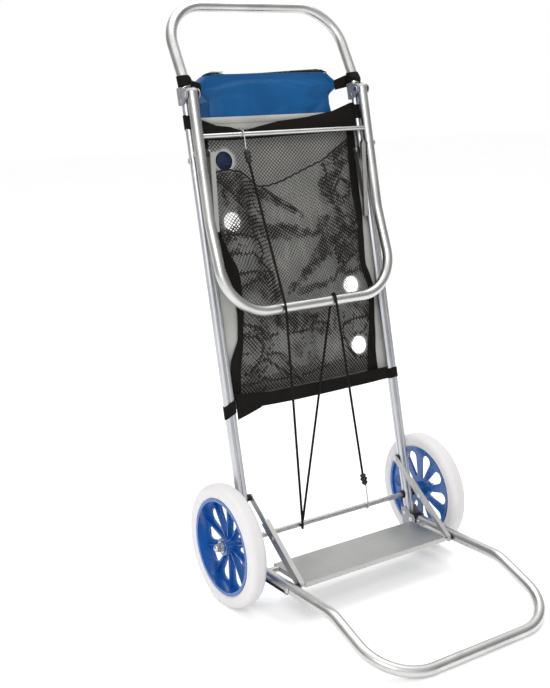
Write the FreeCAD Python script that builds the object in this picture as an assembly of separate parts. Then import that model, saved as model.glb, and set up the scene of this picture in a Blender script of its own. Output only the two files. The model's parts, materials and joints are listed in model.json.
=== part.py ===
"""Folding two-wheel beach trolley that also stands as a table.

Units are millimetres, +Z is up, X runs along the axle and the foot points to -Y.
The rails lean back. Everything fixed to them is modelled in the rail frame, in which
the rails stand upright: x sideways, y rearwards (so the front is -y), z along the rail.
lean() then tips a shape from the rail frame into the world.
"""
import FreeCAD, Part
import math
import os

os.makedirs("parts", exist_ok=True)
V = FreeCAD.Vector

# ---- driving dimensions -------------------------------------------------------
WHEEL_R = 125.0          # tyre radius
TYRE_HALF = 18.0         # half the tyre's width
WHEEL_X = 253.5          # wheel mid-plane
RIM_R = 98.0             # seat of the tyre on the hub
AXLE_R = 5.5
RUN_FIT = 0.05           # radial clearance of every running fit

TILT = 11.0              # rails lean back by this many degrees
RAIL_X = 207.0           # half the distance between the rails
RAIL_LOBE_R = 7.5        # each rail section is two round lobes side by side
RAIL_LOBE_X = 4.5
RAIL_WALL = 1.3
RAIL_WEB = 2.0           # half the web between the lobes
RAIL_BOTTOM = -16.0      # along the rail, from the origin of the rail frame
RAIL_TOP = 954.5
AXLE_S = 50.0            # the axle crosses the rails here

TUBE_R = 11.0            # handle, leg and foot tube
TUBE_WALL = 1.0          # handle and leg
FOOT_WALL = 3.5          # the foot is heavy, so that the empty trolley stands

HANDLE_BEND_S = 963.0
HANDLE_BEND = 18.0       # degrees backwards
HANDLE_RISE = 174.0
HANDLE_CORNER_R = 90.0
HANDLE_FOOT_R = 40.0     # bend just above the rails

LEG_PIVOT_S = 939.0
LEG_PIVOT_N = 20.5       # in front of the rail centre
LEG_N = 23.5             # leg tube axis in front of the rail centre
LEG_TUBE_TOP = 943.0
LEG_BEND_S = 684.0
LEG_BEND = 8.5           # degrees forwards
LEG_TAIL = 186.0
LEG_CORNER_R = 92.0
LEG_OPEN = 105.0         # table position
SPREADER_S = 855.0
SPREADER_R = 4.75
SPREADER_WALL = 1.0

FOOT_PIVOT_S = -4.0
FOOT_PIVOT_N = 20.5
FOOT_TUBE_START = 14.0   # tube end to pivot
FOOT_FLAT = 261.0        # pivot to the downward bend
FOOT_DROP = 21.0         # degrees downwards
FOOT_CORNER_R = 97.0

PIN_R = 4.0
CHEEK = 2.2              # bracket sheet

LINK_T = 2.0             # brace sheet
LINK_HALF = 8.0
CHANNEL_X = 189.5        # mid-plane of the channel brace's web
STRAP_X = 186.8          # mid-plane of the flat brace
FLANGE_IN = 180.5        # inboard edge of the channel's flange
FOOT_BRACE_A = 126.0     # pivot to lower brace pin, along the foot
FOOT_BRACE_B = 132.0     # upper brace pin, along the rail
FOOT_BRACE_SPLIT = 0.477
FOOT_BRACE_TAIL = 40.0
LEG_BRACE_A = 822.0      # brace pin on the leg, along the rail
LEG_BRACE_B = 811.0      # brace pin on the rail
LEG_STRAP_LENGTH = 98.5
LEG_BRACE_TAIL = 45.0

TRAY_HALF = 177.0
TRAY_REAR = 18.0         # from the foot pivot
TRAY_FRONT = 130.0
TRAY_LIP = 10.0
TRAY_T = 2.5
TRAY_RISE = 5.7          # tray top above the foot tube axis
TRAY_BOLT_R = 3.0
TRAY_BOLT_IN = 14.0      # rear bolt, from the tray's rear edge

PANEL_N = -9.2           # front of the table cloth, behind the rail centre
PANEL_T = 1.2
PANEL_S = (300.0, 905.0)
PANEL_HALF = 208.5
CUP_R = 20.0
CUPS = [(-137.0, 808.0), (-137.0, 685.0), (135.0, 524.0), (135.0, 393.0)]

BAG_HALF = 168.0
BAG_S = (334.0, 800.0)
BAG_N = 11.0             # front of the mesh pocket
BAG_T = 1.2
WEB_T = 1.2              # webbing

COOLER_HALF = 174.0
COOLER_S = (742.0, 984.0)
COOLER_N = (-15.0, -103.0)
COOLER_WALL = 2.5
ZIP_Y = (22.0, 30.0)     # zip slot, behind the rail centre
ZIP_HALF = 138.0

TOP_BAND_S = (862.0, 890.0)
LOW_BAND_S = (310.0, 332.0)

CORD_R = 2.5
WIRE_R = 1.5
KNOB_R = 5.0
KNOB_L = 25.0
HOOK_X = (-106.0, 93.0)  # upper hook on the spreader rod, lower hook on the axle

# ---- derived places -----------------------------------------------------------
SIN = math.sin(math.radians(TILT))
COS = math.cos(math.radians(TILT))
ORIGIN_Z = WHEEL_R - AXLE_S * COS


def rail_yz(s, n):
    """World y and z, before centring, of a point s along and n in front of the rail."""
    return s * SIN - n * COS, ORIGIN_Z + s * COS + n * SIN


FOOT_PY, FOOT_PZ = rail_yz(FOOT_PIVOT_S, FOOT_PIVOT_N)
FOOT_RUN = (FOOT_PZ - TUBE_R) / math.tan(math.radians(FOOT_DROP))
FRONT_Y = FOOT_PY - FOOT_FLAT - FOOT_RUN - TUBE_R
HANDLE_TOP_S = HANDLE_BEND_S + HANDLE_RISE * math.cos(math.radians(HANDLE_BEND))
HANDLE_TOP_N = -HANDLE_RISE * math.sin(math.radians(HANDLE_BEND))
BACK_Y = rail_yz(HANDLE_TOP_S, HANDLE_TOP_N)[0] + TUBE_R
SHIFT_Y = -(FRONT_Y + BACK_Y) / 2.0


def world(s, n):
    """World (y, z) of a rail-frame place."""
    y, z = rail_yz(s, n)
    return y + SHIFT_Y, z


PIVOT_Y, PIVOT_Z = world(FOOT_PIVOT_S, FOOT_PIVOT_N)
AXLE_Y = world(AXLE_S, 0.0)[0]


# ---- helpers ------------------------------------------------------------------
def lean(shape):
    """Tip a rail-frame shape back and put it on the axle."""
    s = shape.copy()
    s.rotate(V(0, 0, 0), V(1, 0, 0), -TILT)
    s.translate(V(0, SHIFT_Y, ORIGIN_Z))
    return s


def save(name, *shapes):
    solids = [s for shape in shapes for s in shape.Solids]
    body = solids[0] if len(solids) == 1 else Part.makeCompound(solids)
    body.exportStep("parts/" + name + ".step")
    print(name, len(solids), round(sum(s.Volume for s in solids)))


def box(x0, x1, y0, y1, z0, z1):
    return Part.makeBox(x1 - x0, y1 - y0, z1 - z0, V(x0, y0, z0))


def rod(x0, x1, y, z, r, hole=0.0):
    """Cylinder along X between x0 and x1."""
    low = min(x0, x1)
    c = Part.makeCylinder(r, abs(x1 - x0), V(low, y, z), V(1, 0, 0))
    if hole:
        c = c.cut(Part.makeCylinder(hole, abs(x1 - x0) + 2, V(low - 1, y, z), V(1, 0, 0)))
    return c


def path_wire(points, radii):
    """Straight runs between the points, joined by tangent arcs of the given radii."""
    edges = []
    last = points[0]
    for i, r in enumerate(radii):
        a, b, c = points[i], points[i + 1], points[i + 2]
        u = (a - b).normalize()
        v = (c - b).normalize()
        half = u.getAngle(v) / 2.0
        reach = r / math.tan(half)
        start = b + u * reach
        end = b + v * reach
        centre = b + (u + v).normalize() * (r / math.sin(half))
        middle = centre + (b - centre).normalize() * r
        if (start - last).Length > 1e-6:
            edges.append(Part.LineSegment(last, start).toShape())
        edges.append(Part.Arc(start, middle, end).toShape())
        last = end
    if (points[-1] - last).Length > 1e-6:
        edges.append(Part.LineSegment(last, points[-1]).toShape())
    return Part.Wire(edges)


def sweep(points, radii, r):
    wire = path_wire(points, radii)
    direction = (points[1] - points[0]).normalize()
    circle = Part.Wire(Part.Circle(points[0], direction, r).toShape())
    return wire.makePipeShell([circle], True, False)


def pipe(points, radii, r=TUBE_R, wall=TUBE_WALL):
    return sweep(points, radii, r).cut(sweep(points, radii, r - wall))


def mirrored(shape):
    return shape.mirror(V(0, 0, 0), V(1, 0, 0))


def u_points(left):
    """Points of one side plus their mirror image, in order round the U."""
    return left + [V(-p.x, p.y, p.z) for p in reversed(left)]


def plate_yz(points, x0, x1):
    """Flat plate between x0 and x1 whose outline is given as (y, z) pairs."""
    wire = Part.makePolygon([V(x0, y, z) for y, z in points + points[:1]])
    return Part.Face(wire).extrude(V(x1 - x0, 0, 0))


# ---- frame --------------------------------------------------------------------
def rail_bar(s0, s1, grow=0.0):
    """Bar whose section is two round lobes side by side."""
    lobes = [Part.makeCylinder(RAIL_LOBE_R + grow, s1 - s0, V(side * RAIL_LOBE_X, 0, s0)) for side in (-1, 1)]
    return lobes[0].fuse(lobes[1]).removeSplitter()


def lobe_cavity(side, shrink, z0, z1):
    """Hollow of one lobe: a D whose flat is beside the middle web."""
    c = Part.makeCylinder(RAIL_LOBE_R - RAIL_WALL - shrink, z1 - z0, V(side * RAIL_LOBE_X, 0, z0))
    inner = RAIL_WEB + shrink
    keep = box(inner, 20, -20, 20, z0, z1) if side > 0 else box(-20, -inner, -20, 20, z0, z1)
    return c.common(keep)


def make_rail():
    """Hollow extrusion with a keder groove down the middle of its front and back."""
    solid = rail_bar(RAIL_BOTTOM, RAIL_TOP)
    for side in (-1, 1):
        solid = solid.cut(lobe_cavity(side, 0.0, RAIL_BOTTOM - 1, RAIL_TOP + 1))
        groove = box(-1.2, 1.2, 4.6, 9, RAIL_BOTTOM - 1, RAIL_TOP + 1)
        solid = solid.cut(groove if side > 0 else groove.mirror(V(0, 0, 0), V(0, 1, 0)))
    for s, r in ((AXLE_S, AXLE_R), (FOOT_BRACE_B, PIN_R), (LEG_BRACE_B, PIN_R),
                 (10.0, 3.0), (930.0, 3.0)):
        solid = solid.cut(rod(-20, 20, 0, s, r + 0.1))
    solid.translate(V(RAIL_X, 0, 0))
    return solid


def make_handle():
    left = [V(-RAIL_X, 0, RAIL_TOP + 0.5), V(-RAIL_X, 0, HANDLE_BEND_S),
            V(-RAIL_X, -HANDLE_TOP_N, HANDLE_TOP_S)]
    radii = [HANDLE_FOOT_R, HANDLE_CORNER_R, HANDLE_CORNER_R, HANDLE_FOOT_R]
    return pipe(u_points(left), radii)


def make_joiner():
    """Blind spigot: two pegs in the rail lobes and a round plug in the handle tube."""
    plug = Part.makeCylinder(8.0, 11.5, V(0, 0, RAIL_TOP + 0.3))
    pegs = [lobe_cavity(side, 0.25, RAIL_TOP - 14.0, RAIL_TOP + 0.3) for side in (-1, 1)]
    solid = plug.fuse(pegs)
    solid.translate(V(RAIL_X, 0, 0))
    return solid


def make_end_cap():
    solid = rail_bar(RAIL_BOTTOM - 3.2, RAIL_BOTTOM - 0.2, 0.4)
    solid.translate(V(RAIL_X, 0, 0))
    return solid


CHEEK_IN = RAIL_X - 12.6
CHEEK_OUT = RAIL_X + 12.6


def make_bracket(s0, s1, pivot_s, pivot_n, nose_r, rivet_s):
    """Sheet U behind the rail whose two cheeks reach forward to a round pivot nose."""
    outline = [(10.0, s0), (10.0, s1), (-6.0, s1), (-pivot_n, pivot_s + nose_r),
               (-pivot_n, pivot_s - nose_r), (-6.0, s0)]
    cheek = plate_yz(outline, 0.0, CHEEK).fuse(rod(0, CHEEK, -pivot_n, pivot_s, nose_r))
    inner = cheek.copy()
    inner.translate(V(CHEEK_IN - CHEEK, 0, 0))
    outer = cheek.copy()
    outer.translate(V(CHEEK_OUT, 0, 0))
    web = box(CHEEK_IN - CHEEK, CHEEK_OUT + CHEEK, 8.0, 10.0, s0, s1)
    solid = web.fuse([inner, outer]).removeSplitter()
    solid = solid.cut(rod(180, 235, -pivot_n, pivot_s, PIN_R + 0.1))
    return solid.cut(rod(180, 235, 0, rivet_s, 3.1))


def make_headed_pin(y, z, r, x0, x1, head_r, head_t=1.8):
    """Pin along X from x0 to x1 with a domed head past each end."""
    pin = rod(x0, x1, y, z, r)
    for x, way in ((x0, -1), (x1, 1)):
        disc = rod(x, x + way * head_t, y, z, head_r)
        disc = disc.makeFillet(head_t * 0.6, [e for e in disc.Edges if is_outer_rim(e, x, way, head_t)])
        pin = pin.fuse(disc)
    return pin.removeSplitter()


def is_outer_rim(edge, x, way, head_t):
    circle = isinstance(edge.Curve, Part.Circle)
    return circle and abs(edge.Curve.Center.x - (x + way * head_t)) < 1e-6


def make_axle():
    return rod(-WHEEL_X - 24.0, WHEEL_X + 24.0, AXLE_Y, WHEEL_R, AXLE_R)


def make_cap_nut():
    hexagon = Part.Face(Part.makePolygon([V(0, 8.6 * math.cos(a), 8.6 * math.sin(a)) for a in
                                          [math.radians(60 * k) for k in range(7)]]))
    nut = hexagon.extrude(V(6.0, 0, 0)).fuse(rod(6.0, 9.0, 0, 0, 7.0))
    nut = nut.fuse(Part.makeSphere(7.0, V(9.0 - 2.0, 0, 0)).common(box(9.0, 15, -8, 8, -8, 8)))
    nut = nut.cut(rod(-1, 8.0, 0, 0, AXLE_R + 0.1))
    nut.translate(V(WHEEL_X + 17.0, AXLE_Y, WHEEL_R))
    return nut


# ---- wheels -------------------------------------------------------------------
def revolve_x(points, x0):
    """Turn an outline of (x, r) pairs about the axle line."""
    wire = Part.makePolygon([V(x0 + x, AXLE_Y, WHEEL_R + r) for x, r in points + points[:1]])
    return Part.Face(wire).revolve(V(x0, AXLE_Y, WHEEL_R), V(1, 0, 0), 360)


def make_tyre():
    solid = revolve_x([(-14, RIM_R + 0.05), (14, RIM_R + 0.05), (TYRE_HALF, RIM_R + 5.0),
                       (TYRE_HALF, WHEEL_R), (-TYRE_HALF, WHEEL_R), (-TYRE_HALF, RIM_R + 5.0)], WHEEL_X)
    circles = [e for e in solid.Edges if isinstance(e.Curve, Part.Circle)]
    return solid.makeFillet(13.0, [e for e in circles if abs(e.Curve.Radius - WHEEL_R) < 1e-6])


def pear(angle, x0, x1):
    """Opening between two ribs: a small round near the hub, a large one near the rim."""
    small_r, small_at, large_r, large_at = 5.0, 35.0, 13.0, 74.0
    lean_in = math.asin((large_r - small_r) / (large_at - small_at))
    c, s = math.cos(lean_in), math.sin(lean_in)
    outline = [(small_r * c, small_at - small_r * s), (large_r * c, large_at - large_r * s),
               (-large_r * c, large_at - large_r * s), (-small_r * c, small_at - small_r * s)]
    shape = plate_yz(outline, x0, x1)
    shape = shape.fuse([rod(x0, x1, 0, small_at, small_r), rod(x0, x1, 0, large_at, large_r)])
    shape.translate(V(0, AXLE_Y, WHEEL_R))
    shape.rotate(V(0, AXLE_Y, WHEEL_R), V(1, 0, 0), angle)
    return shape


def make_hub():
    """Rim barrel, dished web with ten pear-shaped openings, and ten thin ribs."""
    rim = revolve_x([(-16, 91.5), (16, 91.5), (16, RIM_R), (-16, RIM_R)], WHEEL_X)
    web = revolve_x([(-12, 16.0), (-12, 92.0), (-8, 92.0), (-8, 16.0)], WHEEL_X)
    barrel = revolve_x([(-21, 10.0), (-21, 17.5), (12, 17.5), (12, 10.0)], WHEEL_X)
    solid = rim.fuse([web, barrel])
    for k in range(10):
        rib = box(WHEEL_X - 9, WHEEL_X - 1, -1.1, 1.1, 16.5, 92.0)
        rib.translate(V(0, AXLE_Y, WHEEL_R))
        rib.rotate(V(0, AXLE_Y, WHEEL_R), V(1, 0, 0), 36 * k)
        solid = solid.fuse(rib)
    for k in range(10):
        solid = solid.cut(pear(36 * k + 18, WHEEL_X - 13, WHEEL_X - 7))
    return solid.removeSplitter()


def make_bush():
    return rod(WHEEL_X - 21.5, WHEEL_X + 12.5, AXLE_Y, WHEEL_R, 9.95, AXLE_R + RUN_FIT)


# ---- leg ----------------------------------------------------------------------
LEG_BAR_S = LEG_BEND_S - LEG_TAIL * math.cos(math.radians(LEG_BEND))
LEG_BAR_N = LEG_N + LEG_TAIL * math.sin(math.radians(LEG_BEND))


def make_leg():
    left = [V(-RAIL_X, -LEG_N, LEG_TUBE_TOP), V(-RAIL_X, -LEG_N, LEG_BEND_S),
            V(-RAIL_X, -LEG_BAR_N, LEG_BAR_S)]
    solid = pipe(u_points(left), [120.0, LEG_CORNER_R, LEG_CORNER_R, 120.0])
    for s, n, r in ((LEG_PIVOT_S, LEG_PIVOT_N, PIN_R + RUN_FIT), (LEG_BRACE_A, LEG_N, PIN_R + 0.1)):
        solid = solid.cut(rod(-230, 230, -n, s, r))
    return solid.cut(rod(-200, 200, -LEG_N, SPREADER_S, SPREADER_R + 0.1))


def make_leg_cap():
    """Domed plug in the top end of a leg tube."""
    height = 7.0
    dome = Part.makeSphere(TUBE_R, V(0, 0, 0)).common(box(-12, 12, -12, 12, 0, 12))
    squash = FreeCAD.Matrix()
    squash.scale(V(1, 1, height / TUBE_R))
    dome = dome.transformGeometry(squash)
    dome.translate(V(RAIL_X, -LEG_N, LEG_TUBE_TOP + 0.2))
    plug = Part.makeCylinder(TUBE_R - TUBE_WALL - 0.1, 16.0, V(RAIL_X, -LEG_N, LEG_TUBE_TOP - 15.8))
    solid = dome.fuse(plug)
    return solid.cut(rod(190, 230, -LEG_PIVOT_N, LEG_PIVOT_S, PIN_R + RUN_FIT))


# ---- foot ---------------------------------------------------------------------
def make_foot():
    y = PIVOT_Y - FOOT_FLAT
    left = [V(-RAIL_X, PIVOT_Y - FOOT_TUBE_START, PIVOT_Z), V(-RAIL_X, y, PIVOT_Z),
            V(-RAIL_X, y - FOOT_RUN, TUBE_R)]
    solid = pipe(u_points(left), [90.0, FOOT_CORNER_R, FOOT_CORNER_R, 90.0], TUBE_R, FOOT_WALL)
    for a, r in ((FOOT_BRACE_A, PIN_R), (TRAY_REAR + TRAY_BOLT_IN, TRAY_BOLT_R)):
        solid = solid.cut(rod(-230, 230, PIVOT_Y - a, PIVOT_Z, r + 0.1))
    return solid


def make_foot_plug():
    """Moulded tongue in the rear end of a foot tube, turning between the bracket cheeks."""
    start = PIVOT_Y - FOOT_TUBE_START
    tongue = rod(RAIL_X - 10.0, RAIL_X + 10.0, PIVOT_Y, PIVOT_Z, 10.5)
    neck = box(RAIL_X - 10.0, RAIL_X + 10.0, start + 0.2, PIVOT_Y, PIVOT_Z - 10.5, PIVOT_Z + 10.5)
    neck = neck.common(Part.makeCylinder(TUBE_R + 1.5, 40, V(RAIL_X, start - 10, PIVOT_Z), V(0, 1, 0)))
    plug = Part.makeCylinder(TUBE_R - FOOT_WALL - 0.1, 14.0, V(RAIL_X, start - 13.0, PIVOT_Z), V(0, 1, 0))
    solid = tongue.fuse([neck, plug]).removeSplitter()
    return solid.cut(rod(190, 225, PIVOT_Y, PIVOT_Z, PIN_R + RUN_FIT))


def make_tray():
    """Folded aluminium tray between the foot tubes, lips turned down all round."""
    top = PIVOT_Z + TRAY_RISE
    y0, y1 = PIVOT_Y - TRAY_FRONT, PIVOT_Y - TRAY_REAR
    outer = box(-TRAY_HALF, TRAY_HALF, y0, y1, top - TRAY_LIP, top)
    inner = box(-TRAY_HALF + TRAY_T, TRAY_HALF - TRAY_T, y0 + TRAY_T, y1 - TRAY_T,
                top - TRAY_LIP - 1, top - TRAY_T)
    solid = outer.cut(inner)
    for a in (FOOT_BRACE_A, TRAY_REAR + TRAY_BOLT_IN):
        solid = solid.cut(rod(-190, 190, PIVOT_Y - a, PIVOT_Z, TRAY_BOLT_R + 0.1))
    return solid.removeSplitter()


def make_rub_strip():
    """Black moulding clipped along the outer underside of a foot tube."""
    y0, y1 = PIVOT_Y - FOOT_BRACE_A + 8.0, PIVOT_Y - 30.0
    ring = Part.makeCylinder(TUBE_R + 3.2, y1 - y0, V(RAIL_X, y0, PIVOT_Z), V(0, 1, 0))
    ring = ring.cut(Part.makeCylinder(TUBE_R + 0.1, y1 - y0 + 2, V(RAIL_X, y0 - 1, PIVOT_Z), V(0, 1, 0)))
    return ring.common(box(RAIL_X + 3.0, RAIL_X + 20, y0, y1, PIVOT_Z - 20, PIVOT_Z - 6.0))


# ---- braces -------------------------------------------------------------------
def along(a, b, x, shape):
    """Lay a shape drawn along +z from the origin on the line from a to b, both (y, z)."""
    angle = math.degrees(math.atan2(b[0] - a[0], b[1] - a[1]))
    s = shape.copy()
    s.rotate(V(0, 0, 0), V(1, 0, 0), -angle)
    s.translate(V(x, a[0], a[1]))
    return s


def channel_brace(length, tail, flange_side):
    """Angle-section link: web plus a flange on one edge, with a tail past the far pin."""
    total = length + tail
    web = box(-LINK_T / 2, LINK_T / 2, -LINK_HALF - 1.6, LINK_HALF, 0, total)
    web = web.fuse(rod(-LINK_T / 2, LINK_T / 2, 0, 0, LINK_HALF))
    depth = CHANNEL_X + LINK_T / 2 - FLANGE_IN
    flange = box(LINK_T / 2 - depth, LINK_T / 2, -LINK_HALF - 1.6, -LINK_HALF, -2.0, total)
    solid = web.fuse(flange).removeSplitter()
    solid = solid.cut([rod(-5, 5, 0, 0, PIN_R + 0.1), rod(-5, 5, 0, length, PIN_R + 0.1)])
    return solid if flange_side < 0 else solid.mirror(V(0, 0, 0), V(0, 1, 0))


def strap_brace(length):
    """Flat link with round ends."""
    half = LINK_HALF - 1.0
    solid = box(-LINK_T / 2, LINK_T / 2, -half, half, 0, length)
    solid = solid.fuse([rod(-LINK_T / 2, LINK_T / 2, 0, 0, half), rod(-LINK_T / 2, LINK_T / 2, 0, length, half)])
    return solid.removeSplitter().cut([rod(-5, 5, 0, 0, PIN_R + 0.1), rod(-5, 5, 0, length, PIN_R + RUN_FIT)])


def both(name, shape):
    """Save a part of the +x side, and its mirror image for the other side."""
    save(name + "_right", shape)
    save(name + "_left", mirrored(shape))


def pair(name, *shapes):
    """Save the same part for both sides in one node."""
    save(name, *shapes, *[mirrored(s) for s in shapes])


def spacer(y, z, x0, x1, r=7.0):
    return rod(x0, x1, y, z, r, PIN_R + 0.1)


WEB_IN = CHANNEL_X - LINK_T / 2
WEB_OUT = CHANNEL_X + LINK_T / 2
STRAP_IN = STRAP_X - LINK_T / 2
STRAP_OUT = STRAP_X + LINK_T / 2
RAIL_OUT = RAIL_X + RAIL_LOBE_X + RAIL_LOBE_R + 0.3


def tube_pin(a):
    """Pin through the moving tube and the channel, with the spacer between them."""
    pin = make_headed_pin(a[0], a[1], PIN_R, WEB_IN - 0.05, RAIL_X + TUBE_R + 0.4, 6.0)
    return pin, tube_spacer(a)


def tube_spacer(a):
    return spacer(a[0], a[1], WEB_OUT + 0.4, RAIL_X - TUBE_R - 0.1)


def rail_spacer(b):
    return spacer(b[0], b[1], STRAP_OUT + 0.4, RAIL_X - 12.1)


def whole_elbow(c):
    return make_headed_pin(c[0], c[1], PIN_R, STRAP_IN - 0.15, WEB_OUT + 0.15, 5.5, 1.6)


def split_tube_pin(a):
    """The tube's half and the channel's half of the pin at a channel's tube end."""
    outer = rod(WEB_OUT + 0.4, RAIL_X + TUBE_R + 0.4, a[0], a[1], PIN_R)
    outer = outer.fuse(rod(RAIL_X + TUBE_R + 0.4, RAIL_X + TUBE_R + 2.2, a[0], a[1], 6.0))
    inner = rod(WEB_IN, WEB_OUT, a[0], a[1], PIN_R).fuse(rod(WEB_IN - 1.8, WEB_IN, a[0], a[1], 6.0))
    return outer, inner


def whole_rail_pin(b):
    return make_headed_pin(b[0], b[1], PIN_R, STRAP_IN - 0.15, RAIL_OUT, 6.0)


def split_rail_pin(b):
    """The rail's half and the strap's half of the pin at a strap's rail end."""
    outer = rod(STRAP_OUT + 0.4, RAIL_OUT, b[0], b[1], PIN_R)
    outer = outer.fuse(rod(RAIL_OUT, RAIL_OUT + 1.8, b[0], b[1], 6.0))
    inner = rod(STRAP_IN, STRAP_OUT, b[0], b[1], PIN_R).fuse(rod(STRAP_IN - 1.8, STRAP_IN, b[0], b[1], 6.0))
    return outer, inner


# ---- soft parts ---------------------------------------------------------------
def make_panel():
    """Table cloth stretched behind the rails, with four cup holes."""
    y0 = -PANEL_N
    solid = box(-PANEL_HALF, PANEL_HALF, y0, y0 + PANEL_T, *PANEL_S)
    for x, s in CUPS:
        solid = solid.cut(Part.makeCylinder(CUP_R, 10, V(x, y0 - 4, s), V(0, 1, 0)))
    return solid


def make_cup_ring(x, s):
    ring = Part.makeCylinder(CUP_R + 7.0, 0.8, V(x, -PANEL_N - 0.8, s), V(0, 1, 0))
    return ring.cut(Part.makeCylinder(CUP_R, 3, V(x, -PANEL_N - 2, s), V(0, 1, 0)))


def make_bag():
    """Mesh pocket: front, two sides and a bottom; the table cloth closes its back."""
    s0, s1 = BAG_S
    back = -PANEL_N - 1.0
    outer = box(-BAG_HALF, BAG_HALF, -BAG_N, back, s0, s1)
    inner = box(-BAG_HALF + BAG_T, BAG_HALF - BAG_T, -BAG_N + BAG_T, back + 1, s0 + BAG_T, s1 + 1)
    return outer.cut(inner)


def rail_wrap(s0, s1):
    """Webbing sleeve round the right rail."""
    solid = rail_bar(s0, s1, 0.1 + WEB_T).cut(rail_bar(s0 - 1, s1 + 1, 0.1))
    solid.translate(V(RAIL_X, 0, 0))
    return solid


def make_band(s0, s1):
    """Webbing that wraps both rails and crosses between them in front of the cloth."""
    inner_edge = RAIL_X - RAIL_LOBE_X - RAIL_LOBE_R - 1.0
    cross = box(-inner_edge, inner_edge, -0.6, 0.6, s0, s1)
    right = rail_wrap(s0, s1)
    return cross.fuse([right, mirrored(right)])


def make_cooler():
    """Hollow pouch with cut top corners, a back that tapers to the zip, and a zip slot."""
    s0, s1 = COOLER_S
    n0, n1 = COOLER_N
    side = [(-n0, s0), (-n0, s1), (-n0 + 22.0, s1), (-n1, s1 - 60.0), (-n1, s0 + 12.0), (-n1 - 12.0, s0)]
    solid = plate_yz(side, -COOLER_HALF, COOLER_HALF)
    corner = Part.Face(Part.makePolygon([V(COOLER_HALF + 1, -200, s1 - 26), V(COOLER_HALF - 23, -200, s1 + 1),
                                         V(COOLER_HALF + 1, -200, s1 + 1), V(COOLER_HALF + 1, -200, s1 - 26)]))
    cut = corner.extrude(V(0, 500, 0))
    solid = solid.cut([cut, mirrored(cut)])
    inside = solid.makeOffsetShape(-COOLER_WALL, 0.01, False, False, 0, 2)
    slot = box(-ZIP_HALF, ZIP_HALF, *ZIP_Y, s1 - 2 * COOLER_WALL, s1 + 1)
    return solid.cut(inside).cut(slot)


def make_cooler_strap():
    """Webbing loop round the bent foot of the handle, its tail stitched to the cooler."""
    rise = 24.0
    slope = math.radians(HANDLE_BEND)
    path = [V(RAIL_X, 0, RAIL_TOP + 2.0), V(RAIL_X, 0, HANDLE_BEND_S),
            V(RAIL_X, rise * math.sin(slope), HANDLE_BEND_S + rise * math.cos(slope))]
    ring = sweep(path, [HANDLE_FOOT_R], TUBE_R + 0.1 + WEB_T)
    hollow = sweep(path, [HANDLE_FOOT_R], TUBE_R + 0.1)
    tail = box(168.0, 203.0, 13.4, 14.6, RAIL_TOP + 4.0, RAIL_TOP + 26.0)
    return ring.fuse(tail).cut(hollow).removeSplitter()


def make_zip_slider():
    """Slider body and its hanging pull, on the tape along the cooler's top."""
    top = COOLER_S[1] + 1.5
    body = box(-133.0, -121.0, *ZIP_Y, top, top + 4.0)
    pull = box(-121.5, -103.0, 24.0, 28.0, top + 2.6, top + 4.0)
    return body.fuse(pull).removeSplitter()


# ---- bungee -------------------------------------------------------------------
BAR_GAP = TUBE_R + CORD_R + 0.4
AXLE_GAP = AXLE_R + CORD_R + 1.4


def place(x, s, n):
    return V(x, -n, s)


def cord_route():
    """Corners of the taut cord: over the leg bar, round the axle, over the bar, to the hook."""
    top = LEG_BAR_S + BAR_GAP
    low = AXLE_S - AXLE_GAP
    return [place(HOOK_X[0] + 2.0, 797.0, 31.0),
            place(-85.0, LEG_BAR_S + 2.0, LEG_BAR_N + BAR_GAP + 1.2),
            place(-80.5, low, AXLE_GAP + 0.4),
            place(-69.5, low, -AXLE_GAP - 0.8),
            place(50.0, top, LEG_BAR_N - BAR_GAP - 0.4),
            place(37.0, top, LEG_BAR_N + BAR_GAP + 2.2),
            place(HOOK_X[1] - 5.0, 120.0, 8.2)]


CORD_RADII = [BAR_GAP, 8.0, 8.0, 12.5, 12.5]


def make_hook(x, s, n, r, knob_s, way):
    """Wire hook over a rod at (s, n), with a straight shank to its knob."""
    reach = r + WIRE_R + 0.3
    tip = s + way * reach
    points = [place(x, knob_s, n + reach), place(x, tip, n + reach),
              place(x, tip, n - reach), place(x, s - way * 5.0, n - reach)]
    return sweep(points, [reach - 0.05, reach - 0.05], WIRE_R)


def make_knob(start, towards):
    """Barrel that grips the cord's end."""
    direction = (towards - start).normalize()
    barrel = Part.makeCylinder(KNOB_R, KNOB_L, start, direction)
    rims = [e for e in barrel.Edges if isinstance(e.Curve, Part.Circle)]
    return barrel.makeFillet(1.5, rims)


def make_bungee():
    route = cord_route()
    cord = sweep(route, CORD_RADII, CORD_R)
    length = path_wire(route, CORD_RADII).Length
    area = math.pi * CORD_R ** 2
    print("cord length", round(length, 1), "volume ratio", round(cord.Volume / (area * length), 4))
    upper = make_hook(HOOK_X[0], SPREADER_S, LEG_N, SPREADER_R, 822.3, 1)
    lower = make_hook(HOOK_X[1], AXLE_S, 0.0, AXLE_R, 94.4, -1)
    knob_up = make_knob(route[0] + V(0, 0, 0.2), place(HOOK_X[0], 830.0, LEG_N + SPREADER_R + 1.8))
    knob_low = make_knob(route[-1] - V(0, 0, 0.5), place(HOOK_X[1], 85.0, AXLE_R + 1.8))
    return cord, upper, lower, knob_up, knob_low


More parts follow.
